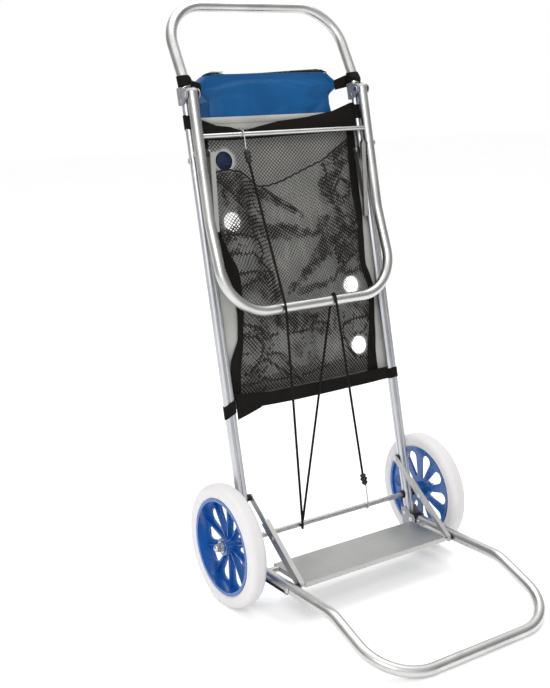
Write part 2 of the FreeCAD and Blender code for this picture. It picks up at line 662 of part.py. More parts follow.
# ---- the whole trolley --------------------------------------------------------
def save_frame():
    both("rail", lean(make_rail()))
    save("handle", lean(make_handle()))
    pair("handle_joiners", lean(make_joiner()))
    pair("rail_end_caps", lean(make_end_cap()))
    pair("top_brackets", lean(make_bracket(921.0, 955.0, LEG_PIVOT_S, LEG_PIVOT_N, 10.0, 930.0)))
    pair("foot_brackets", lean(make_bracket(-16.0, 22.0, FOOT_PIVOT_S, FOOT_PIVOT_N, 12.0, 10.0)))
    rivets = [make_headed_pin(0, s, 2.95, CHEEK_IN - CHEEK, CHEEK_OUT + CHEEK, 4.6, 1.4) for s in (10.0, 930.0)]
    pair("bracket_rivets", *[lean(r) for r in rivets])
    pins = [make_headed_pin(-n, s, PIN_R, CHEEK_IN - CHEEK, CHEEK_OUT + CHEEK, 6.5, 2.0)
            for s, n in ((LEG_PIVOT_S, LEG_PIVOT_N), (FOOT_PIVOT_S, FOOT_PIVOT_N))]
    pair("pivot_pins", *[lean(p) for p in pins])
    washers = []
    for s, n in ((LEG_PIVOT_S, LEG_PIVOT_N), (FOOT_PIVOT_S, FOOT_PIVOT_N)):
        for x in (CHEEK_IN + 0.1, CHEEK_OUT - 1.3):
            washers.append(lean(rod(x, x + 1.2, -n, s, 7.5, PIN_R + 0.1)))
    pair("pivot_washers", *washers)


def save_wheels():
    save("axle", make_axle())
    pair("axle_grommets", rod(189.5, RAIL_X - 12.1, AXLE_Y, WHEEL_R, 9.0, AXLE_R + 0.1))
    pair("wheel_spacers", rod(RAIL_X + 12.1, WHEEL_X - 22.0, AXLE_Y, WHEEL_R, 8.0, AXLE_R + 0.1))
    big = rod(WHEEL_X + 12.9, WHEEL_X + 14.7, AXLE_Y, WHEEL_R, 11.5, AXLE_R + 0.1)
    small = rod(WHEEL_X + 14.8, WHEEL_X + 16.8, AXLE_Y, WHEEL_R, 9.5, AXLE_R + 0.1)
    pair("axle_washers", big, small)
    pair("cap_nuts", make_cap_nut())
    both("tyre", make_tyre())
    both("hub", make_hub())
    both("hub_bush", make_bush())


def save_leg():
    """Save the leg and its braces, and return the fixed pin and spacer on the rail."""
    save("leg_tube", lean(make_leg()))
    pair("leg_end_caps", lean(make_leg_cap()))
    spreader = rod(-RAIL_X + 4, RAIL_X - 4, -LEG_N, SPREADER_S, SPREADER_R, SPREADER_R - SPREADER_WALL)
    save("leg_spreader_rod", lean(spreader))
    a = (-LEG_N, LEG_BRACE_A)
    b = (0.0, LEG_BRACE_B)
    c = leg_elbow()
    both("leg_brace_channel", lean(along(a, c, CHANNEL_X, channel_brace(math.dist(a, c), LEG_BRACE_TAIL, 1))))
    both("leg_brace_strap", lean(along(b, c, STRAP_X, strap_brace(LEG_STRAP_LENGTH))))
    tube_half, channel_half = split_tube_pin(a)
    pair("leg_brace_tube_pins", lean(tube_half))
    pair("leg_brace_tube_spacers", lean(tube_spacer(a)))
    pair("leg_brace_channel_studs", lean(channel_half))
    pair("leg_brace_elbow_pins", lean(whole_elbow(c)))
    return lean(whole_rail_pin(b)), lean(rail_spacer(b))


def leg_elbow():
    """Elbow pin of the leg brace when the leg is folded, as (y, z) in the rail frame."""
    a, b, pivot = V(0, -LEG_N, LEG_BRACE_A), V(0, 0, LEG_BRACE_B), V(0, -LEG_PIVOT_N, LEG_PIVOT_S)
    turn = FreeCAD.Rotation(V(-1, 0, 0), LEG_OPEN)
    opened = pivot + turn.multVec(a - pivot)
    channel = (opened - b).Length - LEG_STRAP_LENGTH
    gap = (a - b).Length
    x = (LEG_STRAP_LENGTH ** 2 - channel ** 2 + gap ** 2) / (2 * gap)
    h = math.sqrt(LEG_STRAP_LENGTH ** 2 - x ** 2)
    u = (a - b).normalize()
    elbow = b + u * x + V(0, u.z, -u.y) * h
    other = b + u * x - V(0, u.z, -u.y) * h
    low = min((elbow, other), key=lambda p: p.z)
    return low.y, low.z


def save_foot():
    """Save the foot and its braces, and return the fixed pin and spacer on the rail."""
    save("foot_tube", make_foot())
    pair("foot_plugs", make_foot_plug())
    save("foot_tray", make_tray())
    pair("foot_rub_strips", make_rub_strip())
    a = (PIVOT_Y - FOOT_BRACE_A, PIVOT_Z)
    b = world(FOOT_BRACE_B, 0.0)
    c = tuple(b[i] + (a[i] - b[i]) * FOOT_BRACE_SPLIT for i in (0, 1))
    both("foot_brace_channel", along(a, c, CHANNEL_X, channel_brace(math.dist(a, c), FOOT_BRACE_TAIL, -1)))
    both("foot_brace_strap", along(b, c, STRAP_X, strap_brace(math.dist(b, c))))
    pin, sleeve = tube_pin(a)
    pair("foot_brace_tube_pins", pin)
    pair("foot_brace_tube_spacers", sleeve)
    rail_half, strap_half = split_rail_pin(b)
    pair("foot_brace_strap_pins", whole_elbow(c), strap_half)
    bolts = []
    rear = PIVOT_Y - TRAY_REAR - TRAY_BOLT_IN
    for y, end in ((a[0], WEB_IN - 2.1), (rear, RAIL_X + TUBE_R + 0.4)):
        bolts.append(rod(TRAY_HALF - TRAY_T - 2.0, end, y, PIVOT_Z, TRAY_BOLT_R))
    bolts.append(rod(TRAY_HALF + 0.1, RAIL_X - TUBE_R - 0.1, rear, PIVOT_Z, 6.0, TRAY_BOLT_R + 0.1))
    pair("tray_bolts", *bolts)
    return rail_half, rail_spacer(b)


def save_soft():
    save("table_cloth", lean(make_panel()))
    hems = [box(-190, 190, -PANEL_N - 0.8, -PANEL_N, s, s + 11.0) for s in (PANEL_S[0], PANEL_S[1] - 11.0)]
    keder = box(RAIL_X - 0.8, RAIL_X + 0.8, 5.2, -PANEL_N, LOW_BAND_S[1] + 4.0, TOP_BAND_S[0] - 4.0)
    pair("cloth_keders", lean(keder))
    rings = [make_cup_ring(x, s) for x, s in CUPS]
    save("cloth_trim", *[lean(h) for h in hems + rings])
    save("mesh_bag", lean(make_bag()))
    save("bag_bands", lean(make_band(*TOP_BAND_S)), lean(make_band(*LOW_BAND_S)))
    save("cooler", lean(make_cooler()))
    top = COOLER_S[1]
    save("zip_tape", lean(box(-140.0, 140.0, 20.0, 32.0, top + 0.1, top + 1.2)))
    save("zip_slider", lean(make_zip_slider()))
    pair("cooler_straps", lean(make_cooler_strap()))
    cord, upper, lower, knob_up, knob_low = make_bungee()
    save("bungee_cord", lean(cord))
    save("bungee_hook_upper", lean(upper))
    save("bungee_hook_lower", lean(lower))
    save("bungee_knob_upper", lean(knob_up))
    save("bungee_knob_lower", lean(knob_low))


save_frame()
save_wheels()
leg_pin, leg_spacer = save_leg()
foot_pin, foot_spacer = save_foot()
pair("brace_rail_pins", leg_pin, foot_pin)
pair("brace_rail_spacers", leg_spacer, foot_spacer)
save_soft()
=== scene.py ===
"""Looks of the folding beach trolley: camera, cord, materials, cloth, net, cooler and webbing.

Lengths are metres. Places on the leaning frame are given as (x, s, n): x sideways,
s along the rails from their own origin, and n in front of the rails' centre plane.
"""
import json
import math

import bpy
from mathutils import Matrix, Vector, noise


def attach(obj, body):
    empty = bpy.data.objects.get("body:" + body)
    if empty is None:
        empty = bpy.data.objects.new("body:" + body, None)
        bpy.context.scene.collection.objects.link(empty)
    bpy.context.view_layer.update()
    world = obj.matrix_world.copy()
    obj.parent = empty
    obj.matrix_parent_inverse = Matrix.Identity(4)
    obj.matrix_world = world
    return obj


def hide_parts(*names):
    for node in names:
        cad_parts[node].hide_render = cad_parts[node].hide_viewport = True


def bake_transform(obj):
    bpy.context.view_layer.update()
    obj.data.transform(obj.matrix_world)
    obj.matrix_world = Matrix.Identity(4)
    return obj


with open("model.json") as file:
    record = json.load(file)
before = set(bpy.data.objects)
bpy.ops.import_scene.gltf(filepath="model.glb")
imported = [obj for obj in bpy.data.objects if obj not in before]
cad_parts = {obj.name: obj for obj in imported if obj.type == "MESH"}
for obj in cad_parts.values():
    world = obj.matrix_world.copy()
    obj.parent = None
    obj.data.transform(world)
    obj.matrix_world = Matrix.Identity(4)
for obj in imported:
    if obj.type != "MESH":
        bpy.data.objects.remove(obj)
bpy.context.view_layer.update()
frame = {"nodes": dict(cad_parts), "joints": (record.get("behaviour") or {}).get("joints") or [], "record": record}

# ---- driving sizes ------------------------------------------------------------
TILT = math.radians(11.0)
AXLE_S = 0.050
RAIL_X = 0.207
LOBE_X = 0.0045
LOBE_R = 0.0075
TUBE_R = 0.011

CLOTH_S = (0.311, 0.895)
CLOTH_HALF = 0.2085
CLOTH_N = -0.0098
CUP_R = 0.020
CUPS = [(-0.137, 0.808), (-0.137, 0.685), (0.135, 0.524), (0.135, 0.393)]

NET_CELL = 0.0040
NET_BOTTOM = 0.332
NET_TOP = 0.872
NET_HALF = 0.176         # the widest half of the net, at the ends of the pocket's edge
NET_MEAN_WIDTH = 0.338
FRONT_NET_HEIGHT = 0.450
BAND_HALF = 0.1935
EDGE_STEPS = 60          # along the pocket's edge

COOLER_S = (0.742, 0.981)
COOLER_FRONT = -0.015

WEB_T = 0.0012
SIM_FRAMES = 18
CORD_D = 0.005

# ---- the leaning frame --------------------------------------------------------
axle = next(j for j in frame["joints"] if j["name"] == "wheel_left_spin")["pos_m"]
UP = Vector((0.0, math.sin(TILT), math.cos(TILT)))
FRONT = Vector((0.0, -math.cos(TILT), math.sin(TILT)))
ACROSS = Vector((1.0, 0.0, 0.0))
RAIL_ORIGIN = Vector((0.0, axle[1], axle[2])) - UP * AXLE_S


def at(x, s, n):
    """World point of a place on the leaning frame."""
    return RAIL_ORIGIN + ACROSS * x + UP * s + FRONT * n


def mix(a, b, t):
    return a + (b - a) * t


def smooth(t):
    t = min(max(t, 0.0), 1.0)
    return t * t * (3.0 - 2.0 * t)


def noise_at(x, s, per_x, per_s, seed):
    """Smooth noise over the leaning frame, from about -1 to 1."""
    return noise.noise(Vector((x * per_x, s * per_s, seed)))


def curve_value(knots, s):
    """Value at s on the straight runs between (s, value) knots in rising order of s."""
    if s <= knots[0][0]:
        return knots[0][1]
    for (s0, v0), (s1, v1) in zip(knots, knots[1:]):
        if s <= s1:
            return mix(v0, v1, (s - s0) / (s1 - s0))
    return knots[-1][1]


# ---- camera, floor and light --------------------------------------------------
SENSOR = 36.0
LENS = 60.2764535
SHIFT = (-0.100247093, -0.032165698)     # in frame widths, because the view is an off-centre crop
CAMERA_PLACE = (-1.3199, -1.7664, 1.0453)
YAW, PITCH, ROLL = math.radians(36.10), math.radians(12.42), math.radians(-1.00)


def add_camera():
    data = bpy.data.cameras.new("camera")
    data.sensor_width = SENSOR
    data.lens = LENS
    data.shift_x, data.shift_y = SHIFT
    flat = math.cos(PITCH)
    forward = Vector((math.sin(YAW) * flat, math.cos(YAW) * flat, -math.sin(PITCH)))
    level = Vector((math.cos(YAW), -math.sin(YAW), 0.0))
    top = level.cross(forward)
    right = level * math.cos(ROLL) + top * math.sin(ROLL)
    up = top * math.cos(ROLL) - level * math.sin(ROLL)
    camera = bpy.data.objects.new("camera", data)
    bpy.context.collection.objects.link(camera)
    turn = Matrix((right, up, -forward)).transposed().to_4x4()
    camera.matrix_world = Matrix.Translation(CAMERA_PLACE) @ turn
    bpy.context.scene.camera = camera


def add_area(name, place, target, size, power):
    data = bpy.data.lights.new(name, "AREA")
    data.shape = "RECTANGLE"
    data.size, data.size_y = size
    data.energy = power
    lamp = bpy.data.objects.new(name, data)
    lamp.location = place
    lamp.rotation_euler = (Vector(target) - Vector(place)).to_track_quat("-Z", "Y").to_euler()
    bpy.context.collection.objects.link(lamp)


def add_studio():
    """White paper floor that glows a little, so that it meets the background unseen."""
    mesh = bpy.data.meshes.new("floor")
    half = 12.0
    corners = [(-half, -half, 0), (half, -half, 0), (half, half, 0), (-half, half, 0)]
    mesh.from_pydata(corners, [], [(0, 1, 2, 3)])
    floor = bpy.data.objects.new("floor", mesh)
    bpy.context.collection.objects.link(floor)
    kit = Shader("floor_paper", (0.95, 0.95, 0.95), 0.9, Emission_Strength=0.16,
                 Emission_Color=(1.0, 1.0, 1.0, 1.0))
    kit.vary_color(kit.noise(3.0, detail=2.0), (0.94, 0.94, 0.94), (0.96, 0.96, 0.96))
    mesh.materials.append(kit.material)
    add_surround()
    add_area("key", (-2.2, -2.4, 2.6), (0.0, 0.1, 0.5), (1.4, 1.4), 46.0)
    add_area("top", (0.3, 0.6, 3.6), (0.0, 0.1, 0.2), (3.0, 3.0), 70.0)
    bpy.context.scene.view_settings.view_transform = "Standard"


def add_surround():
    """White studio with grey side walls, which give the bright metal its darker bands."""
    world = bpy.data.worlds.new("studio")
    bpy.context.scene.world = world
    world.use_nodes = True
    tree = world.node_tree
    direction = tree.nodes.new("ShaderNodeTexCoord").outputs["Generated"]
    turned = tree.nodes.new("ShaderNodeMapping")
    turned.inputs["Rotation"].default_value = (0.0, 0.0, YAW)
    tree.links.new(direction, turned.inputs["Vector"])
    split = tree.nodes.new("ShaderNodeSeparateXYZ")
    tree.links.new(turned.outputs["Vector"], split.inputs[0])
    sideways = tree.nodes.new("ShaderNodeMath")
    sideways.operation = "ABSOLUTE"
    tree.links.new(split.outputs["X"], sideways.inputs[0])
    level = tree.nodes.new("ShaderNodeMapRange")
    level.interpolation_type = "SMOOTHSTEP"
    for socket, number in (("From Min", 0.45), ("From Max", 0.95), ("To Min", 1.0), ("To Max", 0.30)):
        level.inputs[socket].default_value = number
    tree.links.new(sideways.outputs[0], level.inputs["Value"])
    background = tree.nodes["Background"]
    background.inputs["Color"].default_value = (1.0, 1.0, 1.0, 1.0)
    tree.links.new(level.outputs["Result"], background.inputs["Strength"])


# ---- materials ----------------------------------------------------------------
class Shader:
    """A principled material and the few node patterns that this object needs."""

    def __init__(self, name, color, rough, metal=0.0, **sockets):
        self.material = bpy.data.materials.new(name)
        self.material.use_nodes = True
        self.tree = self.material.node_tree
        self.bsdf = self.tree.nodes["Principled BSDF"]
        self.bsdf.inputs["Base Color"].default_value = (*color, 1.0)
        self.bsdf.inputs["Roughness"].default_value = rough
        self.bsdf.inputs["Metallic"].default_value = metal
        for socket, value in sockets.items():
            self.bsdf.inputs[socket.replace("_", " ")].default_value = value
        self.last_bump = None
        self.place = self.tree.nodes.new("ShaderNodeTexCoord").outputs["Object"]

    def node(self, kind, **values):
        made = self.tree.nodes.new("ShaderNode" + kind)
        for key, value in values.items():
            setattr(made, key, value)
        return made

    def link(self, a, b):
        self.tree.links.new(a, b)

    def mapped(self, scale=(1, 1, 1), turn=(0, 0, 0)):
        made = self.node("Mapping")
        made.inputs["Scale"].default_value = scale
        made.inputs["Rotation"].default_value = turn
        self.link(self.place, made.inputs["Vector"])
        return made.outputs["Vector"]

    def noise(self, scale, detail=3.0, stretch=(1, 1, 1), turn=(0, 0, 0)):
        made = self.node("TexNoise")
        made.inputs["Scale"].default_value = scale
        made.inputs["Detail"].default_value = detail
        self.link(self.mapped(stretch, turn), made.inputs["Vector"])
        return made.outputs["Fac"]

    def wave(self, pitch, turn=(0, 0, 0), wobble=0.0):
        """Bands across local x after the turn, one for each pitch."""
        made = self.node("TexWave", bands_direction="X")
        made.inputs["Scale"].default_value = math.pi / 10.0 / pitch
        made.inputs["Distortion"].default_value = wobble
        self.link(self.mapped((1, 1, 1), turn), made.inputs["Vector"])
        return made.outputs["Fac"]

    def cells(self, scale):
        made = self.node("TexVoronoi")
        made.inputs["Scale"].default_value = scale
        self.link(self.mapped(), made.inputs["Vector"])
        return made.outputs["Distance"]

    def combine(self, a, b, operation="ADD"):
        made = self.node("Math", operation=operation)
        for socket, value in zip(made.inputs, (a, b)):
            if isinstance(value, (int, float)):
                socket.default_value = value
            else:
                self.link(value, socket)
        return made.outputs[0]

    def ranged(self, value, low, high, from_low=0.3, from_high=0.7):
        made = self.node("MapRange")
        numbers = {"From Min": from_low, "From Max": from_high, "To Min": low, "To Max": high}
        for socket, number in numbers.items():
            made.inputs[socket].default_value = number
        self.link(value, made.inputs["Value"])
        return made.outputs["Result"]

    def vary_color(self, value, low, high, from_low=0.3, from_high=0.7):
        made = self.node("ValToRGB")
        made.color_ramp.elements[0].position = from_low
        made.color_ramp.elements[1].position = from_high
        made.color_ramp.elements[0].color = (*low, 1.0)
        made.color_ramp.elements[1].color = (*high, 1.0)
        self.link(value, made.inputs["Fac"])
        self.link(made.outputs["Color"], self.bsdf.inputs["Base Color"])

    def vary_rough(self, value, low, high):
        self.link(self.ranged(value, low, high), self.bsdf.inputs["Roughness"])

    def bump(self, height, depth, strength=1.0):
        """Adds relief of that depth in metres on top of what is there."""
        made = self.node("Bump")
        made.inputs["Strength"].default_value = strength
        made.inputs["Distance"].default_value = depth
        self.link(height, made.inputs["Height"])
        if self.last_bump:
            self.link(self.last_bump, made.inputs["Normal"])
        self.last_bump = made.outputs["Normal"]
        self.link(self.last_bump, self.bsdf.inputs["Normal"])

    def distance_from_axle(self):
        """Distance in metres of the shaded point from the wheels' axis."""
        split = self.node("SeparateXYZ")
        self.link(self.place, split.inputs[0])
        y = self.combine(split.outputs["Y"], axle[1], "SUBTRACT")
        z = self.combine(split.outputs["Z"], axle[2], "SUBTRACT")
        total = self.combine(self.combine(y, y, "MULTIPLY"), self.combine(z, z, "MULTIPLY"))
        return self.combine(total, 0.5, "POWER")


def tube_aluminium():
    kit = Shader("drawn_aluminium", (0.56, 0.56, 0.55), 0.30, 1.0)
    kit.vary_color(kit.noise(14.0, 4.0), (0.50, 0.50, 0.49), (0.62, 0.62, 0.605))
    kit.vary_rough(kit.noise(22.0, 5.0), 0.24, 0.38)
    kit.bump(kit.noise(1100.0, 2.0), 0.00002, 0.5)
    kit.bump(kit.noise(60.0, 2.0), 0.0002, 0.12)
    return kit.material


def rail_aluminium():
    kit = Shader("extruded_aluminium", (0.56, 0.57, 0.59), 0.34, 1.0)
    along_rail = (-TILT, 0, 0)
    lines = kit.noise(520.0, 3.0, (1, 1, 0.006), along_rail)
    kit.vary_color(kit.noise(9.0, 4.0), (0.49, 0.50, 0.52), (0.62, 0.63, 0.65))
    kit.vary_rough(lines, 0.27, 0.42)
    kit.bump(lines, 0.00004, 0.6)
    return kit.material


def sheet_aluminium():
    kit = Shader("rolled_aluminium", (0.46, 0.46, 0.45), 0.42, 1.0)
    grain = kit.noise(700.0, 3.0, (0.008, 1, 1))
    kit.vary_color(kit.noise(6.0, 5.0), (0.41, 0.41, 0.40), (0.51, 0.51, 0.495))
    kit.vary_rough(grain, 0.36, 0.52)
    kit.bump(grain, 0.00003, 0.5)
    return kit.material


def grey_bracket():
    kit = Shader("cast_grey", (0.30, 0.31, 0.33), 0.45, 0.65)
    kit.vary_color(kit.noise(120.0, 3.0), (0.26, 0.27, 0.29), (0.34, 0.35, 0.37))
    kit.bump(kit.noise(900.0, 2.0), 0.00006, 0.6)
    return kit.material


def zinc_steel():
    kit = Shader("zinc_steel", (0.50, 0.50, 0.50), 0.32, 1.0)
    kit.vary_color(kit.cells(260.0), (0.40, 0.40, 0.41), (0.58, 0.58, 0.58), 0.1, 0.8)
    kit.vary_rough(kit.noise(90.0, 3.0), 0.24, 0.42)
    kit.bump(kit.noise(800.0, 2.0), 0.00003, 0.4)
    return kit.material


def moulded(name, color, rough):
    kit = Shader(name, color, rough, Specular_IOR_Level=0.35)
    darker = tuple(c * 0.8 for c in color)
    kit.vary_color(kit.noise(40.0, 3.0), darker, color)
    kit.vary_rough(kit.noise(70.0, 3.0), rough - 0.07, rough + 0.08)
    kit.bump(kit.noise(1400.0, 2.0), 0.00005, 0.6)
    return kit.material


def white_tyre():
    """Foamed tyre, a little greyer and rougher on its tread."""
    side, tread = (0.70, 0.685, 0.69), (0.60, 0.585, 0.585)
    kit = Shader("white_tyre", side, 0.55, Subsurface_Weight=0.08, Subsurface_Scale=0.004)
    radius = kit.distance_from_axle()
    scuff = kit.combine(radius, kit.combine(kit.noise(55.0, 4.0), 0.004, "MULTIPLY"))
    kit.vary_color(kit.ranged(scuff, 0.0, 1.0, 0.117, 0.128), side, tread, 0.0, 1.0)
    kit.vary_rough(kit.noise(80.0, 3.0), 0.48, 0.64)
    kit.bump(kit.cells(900.0), 0.0001, 0.35)
    kit.bump(kit.noise(30.0, 2.0), 0.0006, 0.15)
    return kit.material


def blue_hub():
    kit = Shader("blue_hub", (0.006, 0.090, 0.345), 0.28, Coat_Weight=0.35, Coat_Roughness=0.12)
    kit.vary_color(kit.noise(18.0, 3.0), (0.004, 0.075, 0.300), (0.008, 0.105, 0.390))
    kit.vary_rough(kit.noise(60.0, 3.0), 0.22, 0.36)
    kit.bump(kit.noise(240.0, 2.0), 0.0001, 0.12)
    return kit.material


def woven(name, low, high, rough, pitch, relief, sheen, patch=14.0, gloss=0.2):
    """Plain weave: threads across x and threads along the rails."""
    kit = Shader(name, high, rough, Sheen_Weight=sheen, Sheen_Roughness=0.4, Specular_IOR_Level=gloss)
    across = kit.wave(pitch, (0, 0, 0), 0.4)
    along = kit.wave(pitch, (0, math.radians(90.0), 0), 0.4)
    weave = kit.combine(across, along, "MULTIPLY")
    shade = kit.combine(kit.noise(patch, 4.0), kit.combine(weave, 0.18, "MULTIPLY"))
    kit.vary_color(shade, low, high, 0.35, 0.8)
    kit.vary_rough(kit.noise(40.0, 3.0), rough - 0.06, rough + 0.08)
    kit.bump(weave, relief, 0.5)
    return kit


def silver_cloth():
    kit = woven("silver_cloth", (0.31, 0.31, 0.295), (0.41, 0.41, 0.39),
                0.62, 0.0011, 0.00012, 0.1, gloss=0.3)
    kit.bump(kit.noise(26.0, 3.0), 0.0012, 0.25)
    return kit.material


def blue_fabric():
    kit = woven("cooler_blue", (0.002, 0.056, 0.170), (0.003, 0.078, 0.228),
                0.46, 0.0009, 0.00008, 0.02, 9.0, 0.22)
    kit.bump(kit.noise(30.0, 3.0), 0.0016, 0.35)
    return kit.material


# Dark navy that stands in for the shade the cloth casts on the pouch behind it: painted shade.
def painted_shade_navy():
    kit = woven("painted_shade_navy", (0.003, 0.012, 0.040), (0.005, 0.020, 0.062),
                0.55, 0.0009, 0.00008, 0.05, 9.0, 0.25)
    return kit.material


def webbing_black():
    kit = woven("black_webbing", (0.003, 0.0025, 0.002), (0.009, 0.008, 0.007),
                0.8, 0.0016, 0.00018, 0.01, 9.0, 0.12)
    return kit.material


def net_yarn():
    kit = Shader("net_yarn", (0.012, 0.010, 0.009), 0.75, Specular_IOR_Level=0.15)
    kit.vary_color(kit.noise(25.0, 3.0), (0.008, 0.007, 0.006), (0.020, 0.017, 0.015))
    kit.bump(kit.noise(2600.0, 2.0), 0.0001, 0.5)
    return kit.material


def bungee_sleeve():
    """Braid of two crossing sets of yarns."""
    kit = Shader("bungee_sleeve", (0.006, 0.0055, 0.005), 0.7, Specular_IOR_Level=0.1)
    one = kit.wave(0.0013, (0.0, math.radians(45.0), 0.0))
    two = kit.wave(0.0013, (0.0, math.radians(-45.0), 0.0))
    braid = kit.combine(one, two, "MAXIMUM")
    kit.vary_color(braid, (0.003, 0.0025, 0.0025), (0.012, 0.011, 0.010), 0.4, 0.95)
    kit.bump(braid, 0.0002, 0.7)
    return kit.material


ALUMINIUM = tube_aluminium()
RAIL = rail_aluminium()
SHEET = sheet_aluminium()
BRACKET = grey_bracket()
STEEL = zinc_steel()
BLACK_PLASTIC = moulded("black_plastic", (0.010, 0.010, 0.010), 0.5)
GREY_PLASTIC = moulded("grey_plastic", (0.45, 0.45, 0.45), 0.42)
TYRE = white_tyre()
HUB = blue_hub()
CLOTH = silver_cloth()
COOLER_BLUE = blue_fabric()
SHADE_NAVY = painted_shade_navy()
WEBBING = webbing_black()
NET = net_yarn()
SLEEVE = bungee_sleeve()

CAD_MATERIALS = {
    "aluminium_tube": ALUMINIUM, "rail_aluminium": RAIL, "sheet_aluminium": SHEET, "grey_bracket": BRACKET,
    "steel": STEEL, "black_plastic": BLACK_PLASTIC, "grey_plastic": GREY_PLASTIC, "white_tyre": TYRE,
    "blue_hub": HUB, "silver_cloth": CLOTH, "black_mesh": NET, "black_webbing": WEBBING,
    "blue_cooler": COOLER_BLUE, "zip_tape": WEBBING, "bungee": SLEEVE,
}


def paint_cad_nodes():
    slots = {part["node"]: part["material_slot"] for part in frame["record"]["subparts"]}
    for name, obj in frame["nodes"].items():
        obj.data.materials.clear()
        obj.data.materials.append(CAD_MATERIALS[slots[name]])


# ---- mesh helpers -------------------------------------------------------------
def show(name, mesh, material, body):
    """Smooth piece made of the mesh, riding on the body if one is named."""
    for face in mesh.polygons:
        face.use_smooth = True
    mesh.materials.clear()
    mesh.materials.append(material)
    piece = bpy.data.objects.new(name, mesh)
    bpy.context.collection.objects.link(piece)
    if body:
        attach(piece, body)
    return piece


def add_piece(name, verts, faces, material, body="frame"):
    mesh = bpy.data.meshes.new(name)
    mesh.from_pydata([tuple(v) for v in verts], [], faces)
    mesh.validate()
    return show(name, mesh, material, body)


def grid(count_u, count_v, where, closed=False):
    """Vertices and faces of a grid over (u, v) from 0 to 1; closed joins its last column to its first."""
    columns = count_u if closed else count_u + 1
    verts = [where(i / count_u, j / count_v) for j in range(count_v + 1) for i in range(columns)]
    faces = []
    for j in range(count_v):
        for i in range(count_u):
            a, b = j * columns + i, j * columns + (i + 1) % columns
            faces.append((a, b, b + columns, a + columns))
    return verts, faces


def thicken(piece, thickness, offset=0.0, bevel=0.0):
    solid = piece.modifiers.new("thickness", "SOLIDIFY")
    solid.thickness = thickness
    solid.offset = offset
    if bevel:
        edge = piece.modifiers.new("soft_edge", "BEVEL")
        edge.width = bevel
        edge.segments = 2
    return piece


def ribbon(name, material, where, count, across=6, thickness=WEB_T):
    """Strip of webbing: where(u, v) runs along it with u and across it with v."""
    verts, faces = grid(count, across, where)
    return thicken(add_piece(name, verts, faces, material), thickness, 0.0, thickness * 0.3)


def evaluated_mesh(obj):
    bpy.context.view_layer.update()
    return bpy.data.meshes.new_from_object(obj.evaluated_get(bpy.context.evaluated_depsgraph_get()))


def tube_along(name, points, radius, material, sides=8, body="frame"):
    """Smooth round tube along the points, and the line down its middle."""
    curve = bpy.data.curves.new(name, "CURVE")
    curve.dimensions = "3D"
    spline = curve.splines.new("NURBS")
    spline.points.add(len(points) - 1)
    for knot, p in zip(spline.points, points):
        knot.co = (*p, 1.0)
    spline.order_u = 3
    spline.use_endpoint_u = True
    spline.resolution_u = 6
    curve.bevel_depth = radius
    curve.bevel_resolution = max(sides // 4 - 1, 1)
    curve.use_fill_caps = True
    drawn = bpy.data.objects.new(name + "_curve", curve)
    bpy.context.collection.objects.link(drawn)
    mesh = evaluated_mesh(drawn)
    curve.bevel_depth = 0.0
    curve.use_fill_caps = False
    path = [v.co.copy() for v in evaluated_mesh(drawn).vertices]
    bpy.data.objects.remove(drawn)
    return show(name, mesh, material, body), path


# ---- bungee cord --------------------------------------------------------------
# The taut route. Points stand close together beside each corner, and a few more lie on each long straight run
# below the leg bar.
CORD_POINTS = [
    (-0.1040, 0.7970, 0.0310),
    (-0.0869, 0.5318, 0.0625),
    (-0.0850, 0.5020, 0.0661),
    (-0.0847, 0.4722, 0.0624),
    (-0.0842, 0.4240, 0.0565),
    (-0.0837, 0.3677, 0.0497),
    (-0.0831, 0.3115, 0.0428),
    (-0.0826, 0.2512, 0.0355),
    (-0.0820, 0.1909, 0.0281),
    (-0.0814, 0.1307, 0.0208),
    (-0.0808, 0.0704, 0.0134),
    (-0.0805, 0.0406, 0.0098),
    (-0.0695, 0.0406, -0.0102),
    (-0.0622, 0.0697, -0.0073),
    (-0.0465, 0.1320, -0.0011),
    (-0.0307, 0.1942, 0.0050),
    (-0.0150, 0.2565, 0.0112),
    (0.0007, 0.3188, 0.0174),
    (0.0154, 0.3769, 0.0231),
    (0.0301, 0.4350, 0.0289),
    (0.0427, 0.4848, 0.0338),
    (0.0500, 0.5139, 0.0367),
    (0.0370, 0.5139, 0.0671),
    (0.0408, 0.4845, 0.0627),
    (0.0474, 0.4335, 0.0551),
    (0.0545, 0.3788, 0.0469),
    (0.0616, 0.3241, 0.0387),
    (0.0691, 0.2658, 0.0300),
    (0.0767, 0.2075, 0.0213),
    (0.0833, 0.1565, 0.0137),
    (0.0880, 0.1200, 0.0082),
]


def make_cord(ends):
    """The cord as one tube along its taut route, in place of the CAD cord."""
    points = [at(*p) for p in CORD_POINTS]
    cord, path = tube_along("bungee_sleeve", points, CORD_D / 2, SLEEVE, 12, body=None)
    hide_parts("bungee_cord")
    tuple(path[0])
    [tuple(p) for p in path]
    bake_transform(cord)


# ---- table cloth --------------------------------------------------------------
def cloth_n(x, s):
    """Depth of the stretched cloth: it dishes back a little and puckers beside the rails."""
    middle = math.cos(x / CLOTH_HALF * math.pi / 2)
    wave = noise_at(x, s, 8.0, 7.0, 3.1)
    pucker = math.sin(s * 140.0 + 2.0 * noise.noise(Vector((0.0, s * 9.0, 7.7))))
    near_rail = smooth((abs(x) - 0.14) / 0.06)
    return CLOTH_N - 0.0018 * middle + 0.0009 * middle * wave + 0.0004 * near_rail * pucker


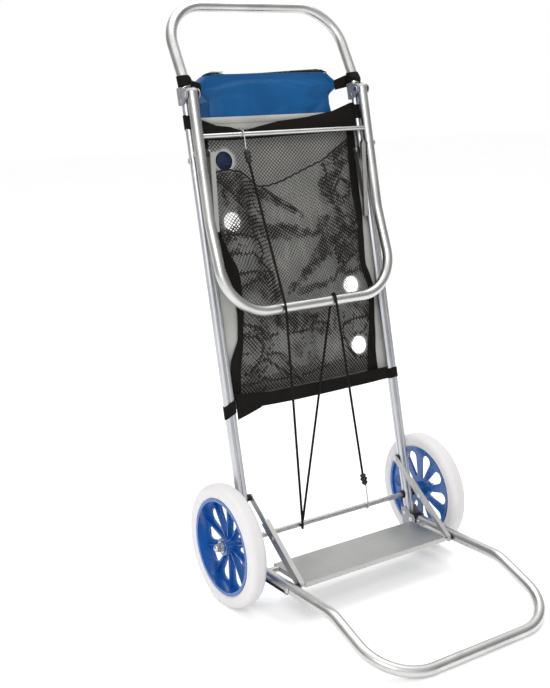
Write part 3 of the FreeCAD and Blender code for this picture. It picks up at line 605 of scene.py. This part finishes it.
def make_cloth():
    """Silver cloth with its holes cut out, its hems and the rims of its holes."""
    step = 0.005
    count_u = round(2 * CLOTH_HALF / step)
    count_v = round((CLOTH_S[1] - CLOTH_S[0]) / step)
    columns = count_u + 1
    flat = [(mix(-CLOTH_HALF, CLOTH_HALF, i / count_u), mix(*CLOTH_S, j / count_v))
            for j in range(count_v + 1) for i in range(columns)]
    faces = grid(count_u, count_v, lambda u, v: Vector((u, v, 0.0)))[1]
    kept = []
    for face in faces:
        x = sum(flat[k][0] for k in face) / 4
        s = sum(flat[k][1] for k in face) / 4
        if all(math.hypot(x - cx, s - cs) > CUP_R for cx, cs in CUPS):
            kept.append(face)
    for k, (x, s) in enumerate(flat):
        for cx, cs in CUPS:
            far = math.hypot(x - cx, s - cs)
            if 0 < far < CUP_R + 0.7 * step:
                flat[k] = (cx + (x - cx) / far * CUP_R, cs + (s - cs) / far * CUP_R)
    used = sorted({k for face in kept for k in face})
    index = {k: i for i, k in enumerate(used)}
    verts = [at(*flat[k], cloth_n(*flat[k])) for k in used]
    cloth = add_piece("cloth_sheet", verts, [tuple(index[k] for k in f) for f in kept], CLOTH)
    thicken(cloth, 0.0008)
    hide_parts("table_cloth")
    trim = [make_cup_ring(i + 1, x, s) for i, (x, s) in enumerate(CUPS)]
    for name, s0, s1 in (("cloth_hem_bottom", CLOTH_S[0], CLOTH_S[0] + 0.011),
                         ("cloth_hem_top", CLOTH_S[1] - 0.012, CLOTH_S[1] + 0.001)):
        trim.append(make_hem(name, s0, s1))
    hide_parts("cloth_trim")


def make_cup_ring(number, x, s):
    """Bound edge of a cup hole, with a padded lip."""
    def where(u, v):
        angle = 2 * math.pi * u
        r = CUP_R - 0.0006 + 0.0066 * v
        px, ps = x + r * math.cos(angle), s + r * math.sin(angle)
        return at(px, ps, cloth_n(px, ps) + 0.0008 + 0.0007 * math.sin(math.pi * v))

    verts, faces = grid(48, 6, where, True)
    return thicken(add_piece(f"cup_ring_{number}", verts, faces, CLOTH), 0.0005)


def make_hem(name, s0, s1):
    def where(u, v):
        x, s = mix(-0.193, 0.193, u), mix(s0, s1, v)
        stitch = 0.0003 * math.cos(x * 1400.0) * (1.0 if abs(v - 0.2) < 0.15 else 0.0)
        return at(x, s, cloth_n(x, s) + 0.0009 + 0.0010 * math.sin(math.pi * v) - stitch)

    return ribbon(name, CLOTH, where, 120, 6, 0.0006)


# ---- net pocket ---------------------------------------------------------------
# Side hems as (s, inner edge x, outer edge x).
LEFT_HEM = [(0.337, -0.179, -0.189), (0.372, -0.174, -0.193), (0.409, -0.165, -0.186),
            (0.446, -0.156, -0.164), (0.499, -0.146, -0.156), (0.542, -0.144, -0.156),
            (0.565, -0.143, -0.161), (0.596, -0.147, -0.170), (0.626, -0.162, -0.177),
            (0.656, -0.172, -0.182), (0.700, -0.174, -0.185), (0.874, -0.176, -0.187)]
RIGHT_HEM = [(0.337, 0.150, 0.174), (0.384, 0.159, 0.177), (0.437, 0.170, 0.183), (0.478, 0.177, 0.188),
             (0.520, 0.180, 0.192), (0.563, 0.167, 0.179), (0.605, 0.169, 0.181), (0.667, 0.174, 0.186),
             (0.717, 0.169, 0.187), (0.771, 0.170, 0.187), (0.829, 0.174, 0.192), (0.874, 0.176, 0.193)]
LEFT_INNER = [(s, inner) for s, inner, outer in LEFT_HEM]
RIGHT_INNER = [(s, inner) for s, inner, outer in RIGHT_HEM]
POCKET_EDGE = [(-0.176, 0.786), (-0.136, 0.789), (-0.105, 0.783), (-0.089, 0.768), (-0.074, 0.752),
               (-0.051, 0.750), (-0.017, 0.756), (0.028, 0.771), (0.069, 0.785), (0.100, 0.795),
               (0.133, 0.814), (0.176, 0.838)]
DENSE_TOP = 0.374
# Bunched areas of the slack front net, where it lies double, as outlines of (x, s).
BUNCHES = [
    [(-0.176, 0.786), (-0.105, 0.785), (-0.083, 0.752), (-0.097, 0.740), (-0.128, 0.746), (-0.172, 0.765)],
    [(-0.096, 0.753), (-0.061, 0.747), (-0.023, 0.720), (0.024, 0.684), (-0.043, 0.714), (-0.077, 0.728)],
    [(-0.172, 0.671), (-0.125, 0.658), (-0.090, 0.647), (-0.087, 0.682), (-0.101, 0.750), (-0.135, 0.752),
     (-0.112, 0.712), (-0.108, 0.680), (-0.150, 0.674)],
    [(-0.090, 0.677), (-0.026, 0.669), (0.047, 0.652), (0.106, 0.644), (0.046, 0.640), (-0.041, 0.638),
     (-0.081, 0.648)],
    [(0.071, 0.643), (0.120, 0.639), (0.095, 0.604), (0.033, 0.562), (-0.030, 0.526), (-0.040, 0.527),
     (0.011, 0.573), (0.046, 0.610)],
    [(-0.025, 0.529), (0.060, 0.543), (0.120, 0.573), (0.113, 0.561), (0.058, 0.531), (-0.013, 0.516)],
    [(0.090, 0.760), (0.132, 0.773), (0.171, 0.829), (0.167, 0.788), (0.129, 0.757), (0.089, 0.723),
     (0.077, 0.740)],
    [(0.076, 0.736), (0.114, 0.754), (0.118, 0.721), (0.093, 0.686), (0.062, 0.677), (0.055, 0.649),
     (0.080, 0.650), (0.100, 0.700)],
    [(0.117, 0.680), (0.157, 0.677), (0.165, 0.597), (0.115, 0.573), (0.100, 0.604), (0.120, 0.639)],
    [(-0.089, 0.569), (-0.065, 0.574), (-0.051, 0.516), (-0.092, 0.518), (-0.098, 0.542)],
    [(-0.146, 0.498), (-0.094, 0.479), (-0.043, 0.444), (0.017, 0.459), (0.039, 0.476), (-0.018, 0.484)],
    [(0.014, 0.443), (0.055, 0.454), (0.064, 0.428), (0.041, 0.425)],
]
# Creases of the front net as lines of (x, s).
FOLDS = [
    [(-0.173, 0.663), (-0.130, 0.657), (-0.090, 0.647)],
    [(-0.166, 0.624), (-0.104, 0.617), (-0.085, 0.592), (-0.070, 0.574)],
    [(-0.140, 0.579), (-0.105, 0.580), (-0.070, 0.574)],
    [(-0.144, 0.552), (-0.113, 0.564), (-0.070, 0.570)],
    [(-0.160, 0.773), (-0.127, 0.732), (-0.102, 0.691), (-0.095, 0.648), (-0.082, 0.615), (-0.094, 0.593)],
    [(-0.157, 0.453), (-0.126, 0.452), (-0.110, 0.434), (-0.118, 0.412), (-0.141, 0.384), (-0.170, 0.373)],
    [(-0.105, 0.409), (-0.073, 0.408), (-0.061, 0.394), (-0.050, 0.373), (-0.023, 0.332)],
    [(-0.115, 0.403), (-0.090, 0.387), (-0.057, 0.358)],
    [(-0.043, 0.444), (-0.005, 0.446), (0.022, 0.458), (0.055, 0.454)],
    [(0.089, 0.445), (0.120, 0.449), (0.168, 0.455)],
    [(0.089, 0.445), (0.089, 0.416), (0.105, 0.385), (0.127, 0.364), (0.157, 0.385)],
    [(0.131, 0.484), (0.172, 0.446)],
    [(0.089, 0.723), (0.114, 0.693), (0.131, 0.675), (0.121, 0.643), (0.099, 0.628)],
    [(0.171, 0.829), (0.132, 0.806), (0.124, 0.786), (0.142, 0.773)],
    [(0.099, 0.628), (0.101, 0.579), (0.119, 0.569), (0.171, 0.605)],
    [(0.112, 0.553), (0.163, 0.555), (0.180, 0.528)],
    [(0.171, 0.667), (0.121, 0.610), (0.100, 0.575)],
    [(-0.169, 0.353), (-0.113, 0.359), (-0.039, 0.351), (0.041, 0.366)],
    [(0.129, 0.753), (0.117, 0.729), (0.131, 0.708), (0.159, 0.718), (0.160, 0.743), (0.139, 0.752),
     (0.129, 0.753)],
    [(-0.149, 0.479), (-0.114, 0.466), (-0.100, 0.440), (-0.076, 0.449)],
    [(-0.060, 0.745), (-0.005, 0.708), (0.024, 0.684)],
    [(0.094, 0.790), (0.100, 0.765), (0.090, 0.745)],
]


def distance_to_fold(x, s, fold):
    best = 1.0
    for (x0, s0), (x1, s1) in zip(fold, fold[1:]):
        dx, ds = x1 - x0, s1 - s0
        t = min(max(((x - x0) * dx + (s - s0) * ds) / (dx * dx + ds * ds), 0.0), 1.0)
        best = min(best, math.hypot(x - x0 - t * dx, s - s0 - t * ds))
    return best


def is_inside(x, s, outline):
    inside = False
    for (x0, s0), (x1, s1) in zip(outline, outline[1:] + outline[:1]):
        if (s0 > s) != (s1 > s) and x < x0 + (s - s0) / (s1 - s0) * (x1 - x0):
            inside = not inside
    return inside


def distance_to_cup(x, s):
    return min(math.hypot(x - cx, s - cs) for cx, cs in CUPS)


def wandering(x, s, wide, wide_per_m, fine, fine_per_m, seed):
    """A small sideways wander, broad and fine together, that keeps a line on cloth from being ruled."""
    broad = wide * noise_at(x, s, wide_per_m, wide_per_m, seed)
    return broad + fine * noise_at(x, s, fine_per_m, fine_per_m, seed + 3.3)


def crease_at(x, s):
    """How near a crease is, from 0 to 1, on a line that wanders a little."""
    wander = wandering(x, s, 0.004, 45.0, 0.0016, 190.0, 0.7)
    near = min(distance_to_fold(x + wander, s - wander, fold) for fold in FOLDS)
    return math.exp(-(near / 0.0032) ** 2)


def slack_at(x, s):
    """How loose the net is, from 0 on the smooth middle to 1 beside the hems and low down."""
    side = smooth((abs(x - 0.012) - 0.050) / 0.060)
    low = smooth((0.535 - s) / 0.060)
    return max(side, 0.8 * low)


def chance_crease(x, s):
    """Small unplanned creases where the net is slack."""
    bend = 0.9 * noise_at(x, s, 30.0, 30.0, 1.2)
    first = noise.noise(Vector((x * 38.0 + bend, s * 24.0, 8.8)))
    second = noise.noise(Vector((x * 22.0 - bend, s * 42.0, 3.4)))
    patch = smooth((noise_at(x, s, 16.0, 16.0, 5.5) + 0.30) / 0.40)
    nearest = max(math.exp(-(first / 0.050) ** 2), 0.8 * math.exp(-(second / 0.045) ** 2))
    return slack_at(x, s) * patch * nearest


def yarn_share(x, s):
    """Share of the front net's cell width that is yarn: more where it is bunched or creased."""
    wander = wandering(x, s, 0.006, 55.0, 0.002, 170.0, 3.7)
    share = 0.13 + 0.34 * slack_at(x, s) * max(noise_at(x, s, 34.0, 28.0, 2.9) + 0.08, 0.0)
    outlines = [outline for outline in BUNCHES if is_inside(x + wander, s - wander, outline)]
    if outlines:
        rim = min(distance_to_fold(x + wander, s - wander, outline + outline[:1]) for outline in outlines)
        patchy = noise_at(x, s, 52.0, 52.0, 6.1) + 0.5 * noise_at(x, s, 130.0, 130.0, 1.1)
        share = mix(0.24, 0.44 + 0.42 * patchy, smooth(rim / 0.005))
        share += 0.30 * math.exp(-(rim / 0.0018) ** 2)
    if s < DENSE_TOP - 0.010 * abs(x) / 0.17:
        share = max(share, 0.36)
    share = max(share, 0.80 * crease_at(x, s), 0.70 * chance_crease(x, s))
    if distance_to_cup(x, s) < 0.0215 and x > 0:
        share = min(share, 0.05)
    return share


def crumple(x, s):
    """Small ridges of slack net."""
    total = 0.0
    for scale, height in ((16.0, 0.0030), (34.0, 0.0016)):
        ridge = 1.0 - abs(noise.noise(Vector((x * scale, s * scale * 0.8, scale)))) * 2.4
        total += height * max(ridge, 0.0) ** 3
    return total


def front_place(x, s, v):
    """The pocket front: it hangs off its top edge, bellies out, and is sewn in all round."""
    left, right = curve_value(LEFT_INNER, s), curve_value(RIGHT_INNER, s)
    u = min(max((x - left) / (right - left), 0.0), 1.0)
    belly = math.sin(math.pi * u) ** 0.6 * (0.25 + 0.75 * math.sin(math.pi * min(v * 0.9 + 0.05, 1.0)))
    sewn = smooth(u / 0.08) * smooth((1 - u) / 0.08) * smooth(v / 0.06)
    return at(x, s, -0.0055 + 0.0100 * belly + sewn * (crumple(x, s) + 0.0035 * crease_at(x, s)))


def lattice(count_u, count_v, flat_of, place_of, share_of, is_open):
    """Diamond net of flat yarns: every cell is a frame round its hole."""
    verts, index, faces = [], {}, []

    def corner(i, j):
        if (i, j) not in index:
            index[i, j] = len(verts)
            verts.append(place_of(i / count_u, j / count_v))
        return index[i, j]

    for j in range(1, count_v):
        for i in range(1, count_u):
            x, s = flat_of(i / count_u, j / count_v)
            if (i + j) % 2 == 0 or is_open(x, s):
                continue
            share = share_of(x, s)
            centre = place_of(i / count_u, j / count_v)
            outer = [corner(*c) for c in ((i - 1, j), (i, j - 1), (i + 1, j), (i, j + 1))]
            first = len(verts)
            verts.extend(verts[k].lerp(centre, share) for k in outer)
            for k in range(4):
                m = (k + 1) % 4
                faces.append((outer[k], outer[m], first + m, first + k))
    return verts, faces


def net_counts(height):
    return 2 * round(NET_MEAN_WIDTH / NET_CELL / 2), 2 * round(height / NET_CELL / 2)


def make_back_net():
    """Flat net over the whole cloth, cut out round the cup holes."""
    count_u, count_v = net_counts(NET_TOP - NET_BOTTOM)

    def flat_of(u, v):
        s = mix(NET_BOTTOM, NET_TOP, v)
        return mix(curve_value(LEFT_INNER, s), curve_value(RIGHT_INNER, s), u), s

    def place_of(u, v):
        x, s = flat_of(u, v)
        return at(x, s, -0.0078 + 0.0005 * noise_at(x, s, 20.0, 20.0, 1.0))

    def share_of(x, s):
        return mix(0.11, 0.225, smooth((s - curve_value(POCKET_EDGE, x)) / 0.004))

    verts, faces = lattice(count_u, count_v, flat_of, place_of, share_of,
                           lambda x, s: distance_to_cup(x, s) < (0.026 if s > 0.75 else 0.0225))
    net = add_piece("net_back", verts, faces, NET)


def make_front_net():
    count_u, count_v = net_counts(FRONT_NET_HEIGHT)

    def flat_of(u, v):
        x = mix(-NET_HALF, NET_HALF, u)
        s = mix(NET_BOTTOM, curve_value(POCKET_EDGE, x), v)
        return mix(curve_value(LEFT_INNER, s), curve_value(RIGHT_INNER, s), u), s

    def place_of(u, v):
        x, s = flat_of(u, v)
        return front_place(x, s, v)

    verts, faces = lattice(count_u, count_v, flat_of, place_of, yarn_share, lambda x, s: False)
    net = add_piece("net_pocket_front", verts, faces, NET)
    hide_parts("mesh_bag")


def make_pocket_edge():
    """Gathered binding along the pocket's opening."""
    points = []
    for k in range(EDGE_STEPS + 1):
        x = mix(-NET_HALF, NET_HALF, k / EDGE_STEPS)
        s = curve_value(POCKET_EDGE, x) + 0.0012 * math.sin(k * 1.9)
        left, right = curve_value(LEFT_INNER, s), curve_value(RIGHT_INNER, s)
        proud = 0.001 + 0.0006 * math.sin(k * 2.6)
        points.append(front_place(mix(left, right, k / EDGE_STEPS), s, 1.0) + FRONT * proud)
    tube_along("pocket_edge", points, 0.0019, NET, 8)


def make_side_hem(name, hem):
    """Folded black tape down one side of the net."""
    inner = [(s, a) for s, a, b in hem]
    outer = [(s, b) for s, a, b in hem]

    def where(u, v):
        s = mix(NET_BOTTOM - 0.002, NET_TOP + 0.002, u)
        edge = curve_value(inner, s)
        x = mix(edge - math.copysign(0.004, edge), curve_value(outer, s), v)
        ripple = 0.0007 * math.sin(s * 90.0 + v * 3.0) + 0.0009 * noise_at(x, s, 30.0, 25.0, 2.0)
        return at(x, s, -0.0040 + ripple - 0.0022 * v)

    ribbon(name, WEBBING, where, 110, 6)


# ---- webbing bands ------------------------------------------------------------
def rail_outline(u, grow):
    """Place (x, n) on a rail's two-lobed outline, grown outwards, from the rail's centre."""
    r = LOBE_R + grow
    straight, arc = 2 * LOBE_X, math.pi * r
    total = 2 * straight + 2 * arc
    d = (u % 1.0) * total
    if d < straight:
        return -LOBE_X + d, r
    if d < straight + arc:
        a = (d - straight) / r
        return LOBE_X + r * math.sin(a), r * math.cos(a)
    if d < 2 * straight + arc:
        return LOBE_X - (d - straight - arc), -r
    a = (d - 2 * straight - arc) / r
    return -LOBE_X - r * math.sin(a), -r * math.cos(a)


def make_wrap(name, side, low, high, slant):
    """Webbing loop round a rail, with edges that slant across it."""
    def where(u, v):
        x, n = rail_outline(u, 0.0009)
        s = mix(low, high, v) + slant * x * side + 0.0006 * math.sin(u * 12.0)
        return at(side * RAIL_X + side * x, s, n)

    verts, faces = grid(48, 8, where, True)
    thicken(add_piece(name, verts, faces, WEBBING), WEB_T, 0.0, 0.0003)


def make_cross_band(name, bottom, top, depth):
    """Band between the rails; bottom, top and depth are knots over x."""
    def where(u, v):
        x = mix(-BAND_HALF, BAND_HALF, u)
        s = mix(curve_value(bottom, x), curve_value(top, x), v)
        ripple = 0.0010 * math.sin(x * 60.0 + v * 2.0) + 0.0012 * noise_at(x, s, 24.0, 24.0, 9.0)
        return at(x, s, curve_value(depth, x) + ripple)

    return ribbon(name, WEBBING, where, 110, 8)


def make_bands():
    top = make_cross_band("top_band", [(-0.193, 0.850), (-0.110, 0.847), (0.193, 0.853)],
                          [(-0.193, 0.894), (-0.179, 0.889), (-0.150, 0.878), (-0.121, 0.874),
                           (-0.091, 0.865), (-0.059, 0.871), (-0.004, 0.881), (0.071, 0.887),
                           (0.137, 0.897), (0.186, 0.913)],
                          [(-0.193, 0.0030), (-0.100, 0.0010), (0.193, 0.0035)])
    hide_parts("bag_bands")
    make_cross_band("bottom_band",
                    [(-0.193, 0.312), (-0.135, 0.308), (-0.046, 0.306), (0.062, 0.307), (0.193, 0.310)],
                    [(-0.193, 0.343), (-0.108, 0.334), (0.066, 0.333), (0.193, 0.336)],
                    [(-0.193, 0.0045), (0.0, 0.0010), (0.193, 0.0045)])
    make_wrap("top_wrap_left", -1, 0.868, 0.895, -0.50)
    make_wrap("top_wrap_right", 1, 0.877, 0.907, -0.20)
    make_wrap("bottom_wrap_left", -1, 0.302, 0.328, 0.47)
    make_wrap("bottom_wrap_right", 1, 0.3095, 0.3315, 0.0)
    make_flap()


def make_flap():
    """Loose corner of the bottom band that hangs below its left end."""
    def where(u, v):
        x = mix(-BAND_HALF, -0.135, u)
        s = mix(mix(0.291, 0.307, u), mix(0.318, 0.310, u), v)
        return at(x, s, 0.0045 + 0.002 * (1 - v) * math.sin(u * 3.0))

    ribbon("bottom_band_flap", WEBBING, where, 24, 6)


# ---- cooler pouch -------------------------------------------------------------
HALF_WIDTH = [(0.742, 0.147), (0.750, 0.153), (0.932, 0.153), (0.943, 0.165), (0.951, 0.1755),
              (0.962, 0.1765), (0.981, 0.151)]
BACK_DEPTH = [(0.742, -0.090), (0.756, -0.101), (0.915, -0.102), (0.981, -0.045)]
CORNER_R = 0.008


def rounded_rectangle(u, half, front, back, r):
    """Place (x, n) on a rounded rectangle; u runs once round it from the middle of its front."""
    depth = front - back
    r = min(r, depth * 0.45)
    sides = [half - r, depth - 2 * r, 2 * (half - r), depth - 2 * r, half - r]
    arc = math.pi / 2 * r
    total = sum(sides) + 4 * arc
    d = (u % 1.0) * total
    corners = [(half - r, front - r, 90), (half - r, back + r, 0),
               (-half + r, back + r, -90), (-half + r, front - r, 180)]
    starts = [(0.0, front, 1, 0), (half, front - r, 0, -1), (half - r, back, -1, 0), (-half, back + r, 0, 1),
              (-half + r, front, 1, 0)]
    for k, side in enumerate(sides):
        if d <= side or k == 4:
            x, n, dx, dn = starts[k]
            return x + dx * d, n + dn * d
        d -= side
        if d <= arc:
            cx, cn, angle = corners[k]
            a = math.radians(angle) - d / r
            return cx + r * math.cos(a), cn + r * math.sin(a)
        d -= arc


def cooler_dent(x, s, n):
    """Inward give of the soft wall: broad slack, fine creases, and pulls towards the straps."""
    broad = 0.5 + 0.5 * noise.noise(Vector((x * 9.0, s * 9.0, n * 9.0 + 4.0)))
    crease = max(1.0 - 4.0 * abs(noise.noise(Vector((x * 17.0, s * 13.0, n * 14.0)))), 0.0) ** 2
    pull = math.exp(-(((abs(x) - 0.150) / 0.022) ** 2 + ((s - 0.930) / 0.022) ** 2))
    return 0.0022 * broad + 0.0016 * crease + 0.0035 * pull


def cooler_place(u, v):
    """Point of the pouch's wall: u round it, v up it."""
    s = mix(*COOLER_S, v)
    inset = 0.010 * (1 - min(v / 0.035, 1.0)) ** 2
    half = curve_value(HALF_WIDTH, s) - 0.4 * inset
    back = curve_value(BACK_DEPTH, s) + inset
    x, n = rounded_rectangle(u, half, COOLER_FRONT - 0.4 * inset, back, CORNER_R)
    inward = (Vector((0.0, (COOLER_FRONT + back) / 2)) - Vector((x * 0.3, n))).normalized()
    dent = cooler_dent(x, s, n) * smooth(v / 0.05) * smooth((1 - v) / 0.04)
    return at(x + inward.x * dent, s, n + inward.y * dent)


def make_cooler():
    """Blue pouch: walls, top, bottom and the two seams beside its front panel."""
    around, rows = 176, 84
    verts, faces = grid(around, rows, cooler_place, True)
    for row, flip in ((0, True), (rows, False)):
        ring = [row * around + i for i in range(around)]
        rim = [verts[i] for i in ring]
        middle = sum(rim, Vector()) / around
        first = len(verts)
        for p in rim:
            along = ACROSS * (p - middle).dot(ACROSS)
            verts.append(middle + along * 0.93 + (p - middle - along) * 0.1)
        for i in range(around):
            k = (i + 1) % around
            quad = (ring[i], first + i, first + k, ring[k])
            faces.append(quad[::-1] if flip else quad)
        cap = tuple(range(first, first + around))
        faces.append(cap[::-1] if flip else cap)
    body = add_piece("cooler_pouch", verts, faces, COOLER_BLUE)
    held = [i for i, v in enumerate(verts) if (v - RAIL_ORIGIN).dot(UP) > 0.974 or abs(v.x) > 0.166]
    puff(body, held, 2.0, 0.004)
    paint_shade_behind_cloth(body)
    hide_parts("cooler")
    for name, u in (("cooler_seam_right", 0.205), ("cooler_seam_left", 0.795)):
        points = [cooler_place(u, k / 60) + FRONT * 0.0002 for k in range(1, 60)]
        tube_along(name, points, 0.0011, COOLER_BLUE, 8)


def puff(piece, held, pressure, most):
    """Short cloth simulation of a closed soft wall; no point ends further than most from its start."""
    group = piece.vertex_groups.new(name="held")
    group.add(held, 1.0, "REPLACE")
    cloth = piece.modifiers.new("puff", "CLOTH")
    cloth.settings.quality = 6
    cloth.settings.mass = 0.25
    cloth.settings.tension_stiffness = 12.0
    cloth.settings.compression_stiffness = 12.0
    cloth.settings.bending_stiffness = 0.6
    cloth.settings.use_pressure = True
    cloth.settings.uniform_pressure_force = pressure
    cloth.settings.effector_weights.gravity = 0.0
    cloth.settings.vertex_group_mass = group.name
    cloth.point_cache.frame_end = SIM_FRAMES
    for step in range(1, SIM_FRAMES + 1):
        bpy.context.scene.frame_set(step)
    puffed = piece.evaluated_get(bpy.context.evaluated_depsgraph_get()).data
    moves = [b.co - a.co for a, b in zip(piece.data.vertices, puffed.vertices)]
    piece.modifiers.remove(cloth)
    piece.vertex_groups.remove(group)
    bpy.context.scene.frame_set(1)
    for vertex, move in zip(piece.data.vertices, moves):
        vertex.co += move * min(1.0, most / max(move.length, 1e-9))


def paint_shade_behind_cloth(body):
    """The part of the front panel that lies behind the cloth is dark navy: painted shade for where the cloth
    shades the pouch.
    """
    body.data.materials.append(SHADE_NAVY)
    for face in body.data.polygons:
        place = face.center - RAIL_ORIGIN
        if place.dot(UP) < CLOTH_S[1] - 0.012 and place.dot(FRONT) > COOLER_FRONT - 0.012:
            # Painted shade: the faces behind the cloth take the dark navy.
            face.material_index = 1


def make_lid_binding():
    """Piped seam along the front panel's top edge."""
    points = [cooler_place(u, 1.0) + UP * 0.0006 for u in [k / 200 for k in range(-42, 43)]]
    tube_along("cooler_binding", points, 0.0013, COOLER_BLUE, 8)


ZIP_RISE = [(-0.148, 0.0020), (-0.140, 0.0050), (-0.115, 0.0045), (-0.098, 0.0005), (-0.014, 0.0022),
            (0.059, 0.0055), (0.140, 0.0085), (0.150, 0.0030)]


def make_zip():
    """Black tape over the slot, standing up towards one end, with two rows of teeth."""
    top = COOLER_S[1] + 0.0010

    def where(u, v):
        x = mix(-0.148, 0.150, u)
        crown = math.sin(math.pi * v) ** 0.5
        s = top + curve_value(ZIP_RISE, x) * crown + 0.0003 * math.sin(x * 90.0)
        return at(x, s, mix(-0.0175, -0.0345, v))

    tape = ribbon("zip_strip", WEBBING, where, 110, 8, 0.0008)
    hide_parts("zip_tape")
    verts, faces = [], []
    pitch, count = 0.0026, 102
    for k in range(count):
        for row in (-1, 1):
            x = (k - (count - 1) / 2 + 0.25 * row) * pitch
            base = top + curve_value(ZIP_RISE, x) + 0.0004
            n0, n1 = -0.026 + row * 0.0002, -0.026 + row * 0.0021
            start = len(verts)
            for px in (x - 0.0005, x + 0.0005):
                for n in (n0, n1):
                    for s in (base, base + 0.0011):
                        verts.append(at(px, s, n))
            for face in ((0, 1, 3, 2), (4, 6, 7, 5), (0, 4, 5, 1), (2, 3, 7, 6), (0, 2, 6, 4), (1, 5, 7, 3)):
                faces.append(tuple(start + f for f in face))
    teeth = add_piece("zip_teeth", verts, faces, BLACK_PLASTIC)
    for face in teeth.data.polygons:
        face.use_smooth = False


def make_cooler_straps():
    """Webbing loops round the foot of the handle, and their tails to the cooler's corners."""
    bend_s, bend = 0.963, math.radians(18.0)
    radius = TUBE_R + 0.0010
    for side, word in ((-1, "left"), (1, "right")):
        def loop(u, v, side=side):
            angle = 2 * math.pi * u
            # Higher in front, where the leg's end turns past when the leg opens.
            lower_edge = mix(0.9455, 0.9575, smooth((math.sin(angle) + 0.1) / 0.6))
            s = mix(lower_edge, 0.9785, v) - 0.0025 * side * math.cos(angle) * (1 - v)
            over = max(s - bend_s, 0.0)
            loose = 0.0010 + 0.0013 * (1 + math.sin(3 * angle + side)) * math.sin(math.pi * v)
            return at(side * RAIL_X + (radius + loose) * math.cos(angle), s,
                      (radius + loose) * math.sin(angle) - over * math.tan(bend))

        verts, faces = grid(40, 8, loop, True)
        piece = add_piece("handle_loop_" + word, verts, faces, WEBBING)
        thicken(piece, WEB_T, 1.0, 0.0003)

        def tail(u, v, side=side):
            x = side * mix(0.164, 0.2040, u)
            s = mix(mix(0.944, 0.951, u), mix(0.965, 0.978, u), v)
            return at(x, s, mix(-0.0150, -0.0125, u) + 0.0015 * math.sin(u * 3.1) * math.sin(v * 3.1))

        ribbon("cooler_tail_" + word, WEBBING, tail, 16, 6)
    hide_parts("cooler_straps")


# ---- knobs --------------------------------------------------------------------
def make_knob(name, node, start, end, body):
    """Moulded cord end: a ribbed barrel with a pinched waist."""
    profile = [(0.0, 0.0026), (0.05, 0.0052), (0.16, 0.0068), (0.26, 0.0044), (0.36, 0.0070), (0.50, 0.0072),
               (0.60, 0.0046), (0.70, 0.0062), (0.82, 0.0060), (0.90, 0.0040), (1.0, 0.0020)]
    line = end - start
    side = line.cross(ACROSS).normalized()
    other = line.cross(side).normalized()

    def where(u, v):
        r = curve_value(profile, v) * (1.0 + 0.06 * math.cos(6 * 2 * math.pi * u))
        a = 2 * math.pi * u
        return start + line * v + side * (r * math.cos(a)) + other * (r * math.sin(a))

    verts, faces = grid(36, 44, where, True)
    faces.append(tuple(range(35, -1, -1)))
    faces.append(tuple(range(44 * 36, 45 * 36)))
    knob = add_piece(name, verts, faces, BLACK_PLASTIC, body)
    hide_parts(node)
    return knob


def make_knobs():
    """The moulded ends of the cord, with the two hooks they hold."""
    top = at(*CORD_POINTS[0])
    upper = make_knob("cord_end_upper", "bungee_knob_upper", top,
                      top + (at(-0.106, 0.830, 0.030) - top).normalized() * 0.027, "leg")
    low = at(*CORD_POINTS[-1])
    lower = make_knob("cord_end_lower", "bungee_knob_lower", low,
                      low + (at(0.093, 0.085, 0.0073) - low).normalized() * 0.026, "frame")
    return [upper, lower, frame["nodes"]["bungee_hook_upper"], frame["nodes"]["bungee_hook_lower"]]


# ---- the whole picture --------------------------------------------------------
add_camera()
make_cord(make_knobs())
add_studio()
paint_cad_nodes()
make_cloth()
make_back_net()
make_front_net()
make_pocket_edge()
make_side_hem("net_hem_left", LEFT_HEM)
make_side_hem("net_hem_right", RIGHT_HEM)
make_bands()
make_cooler()
make_lid_binding()
make_zip()
make_cooler_straps()
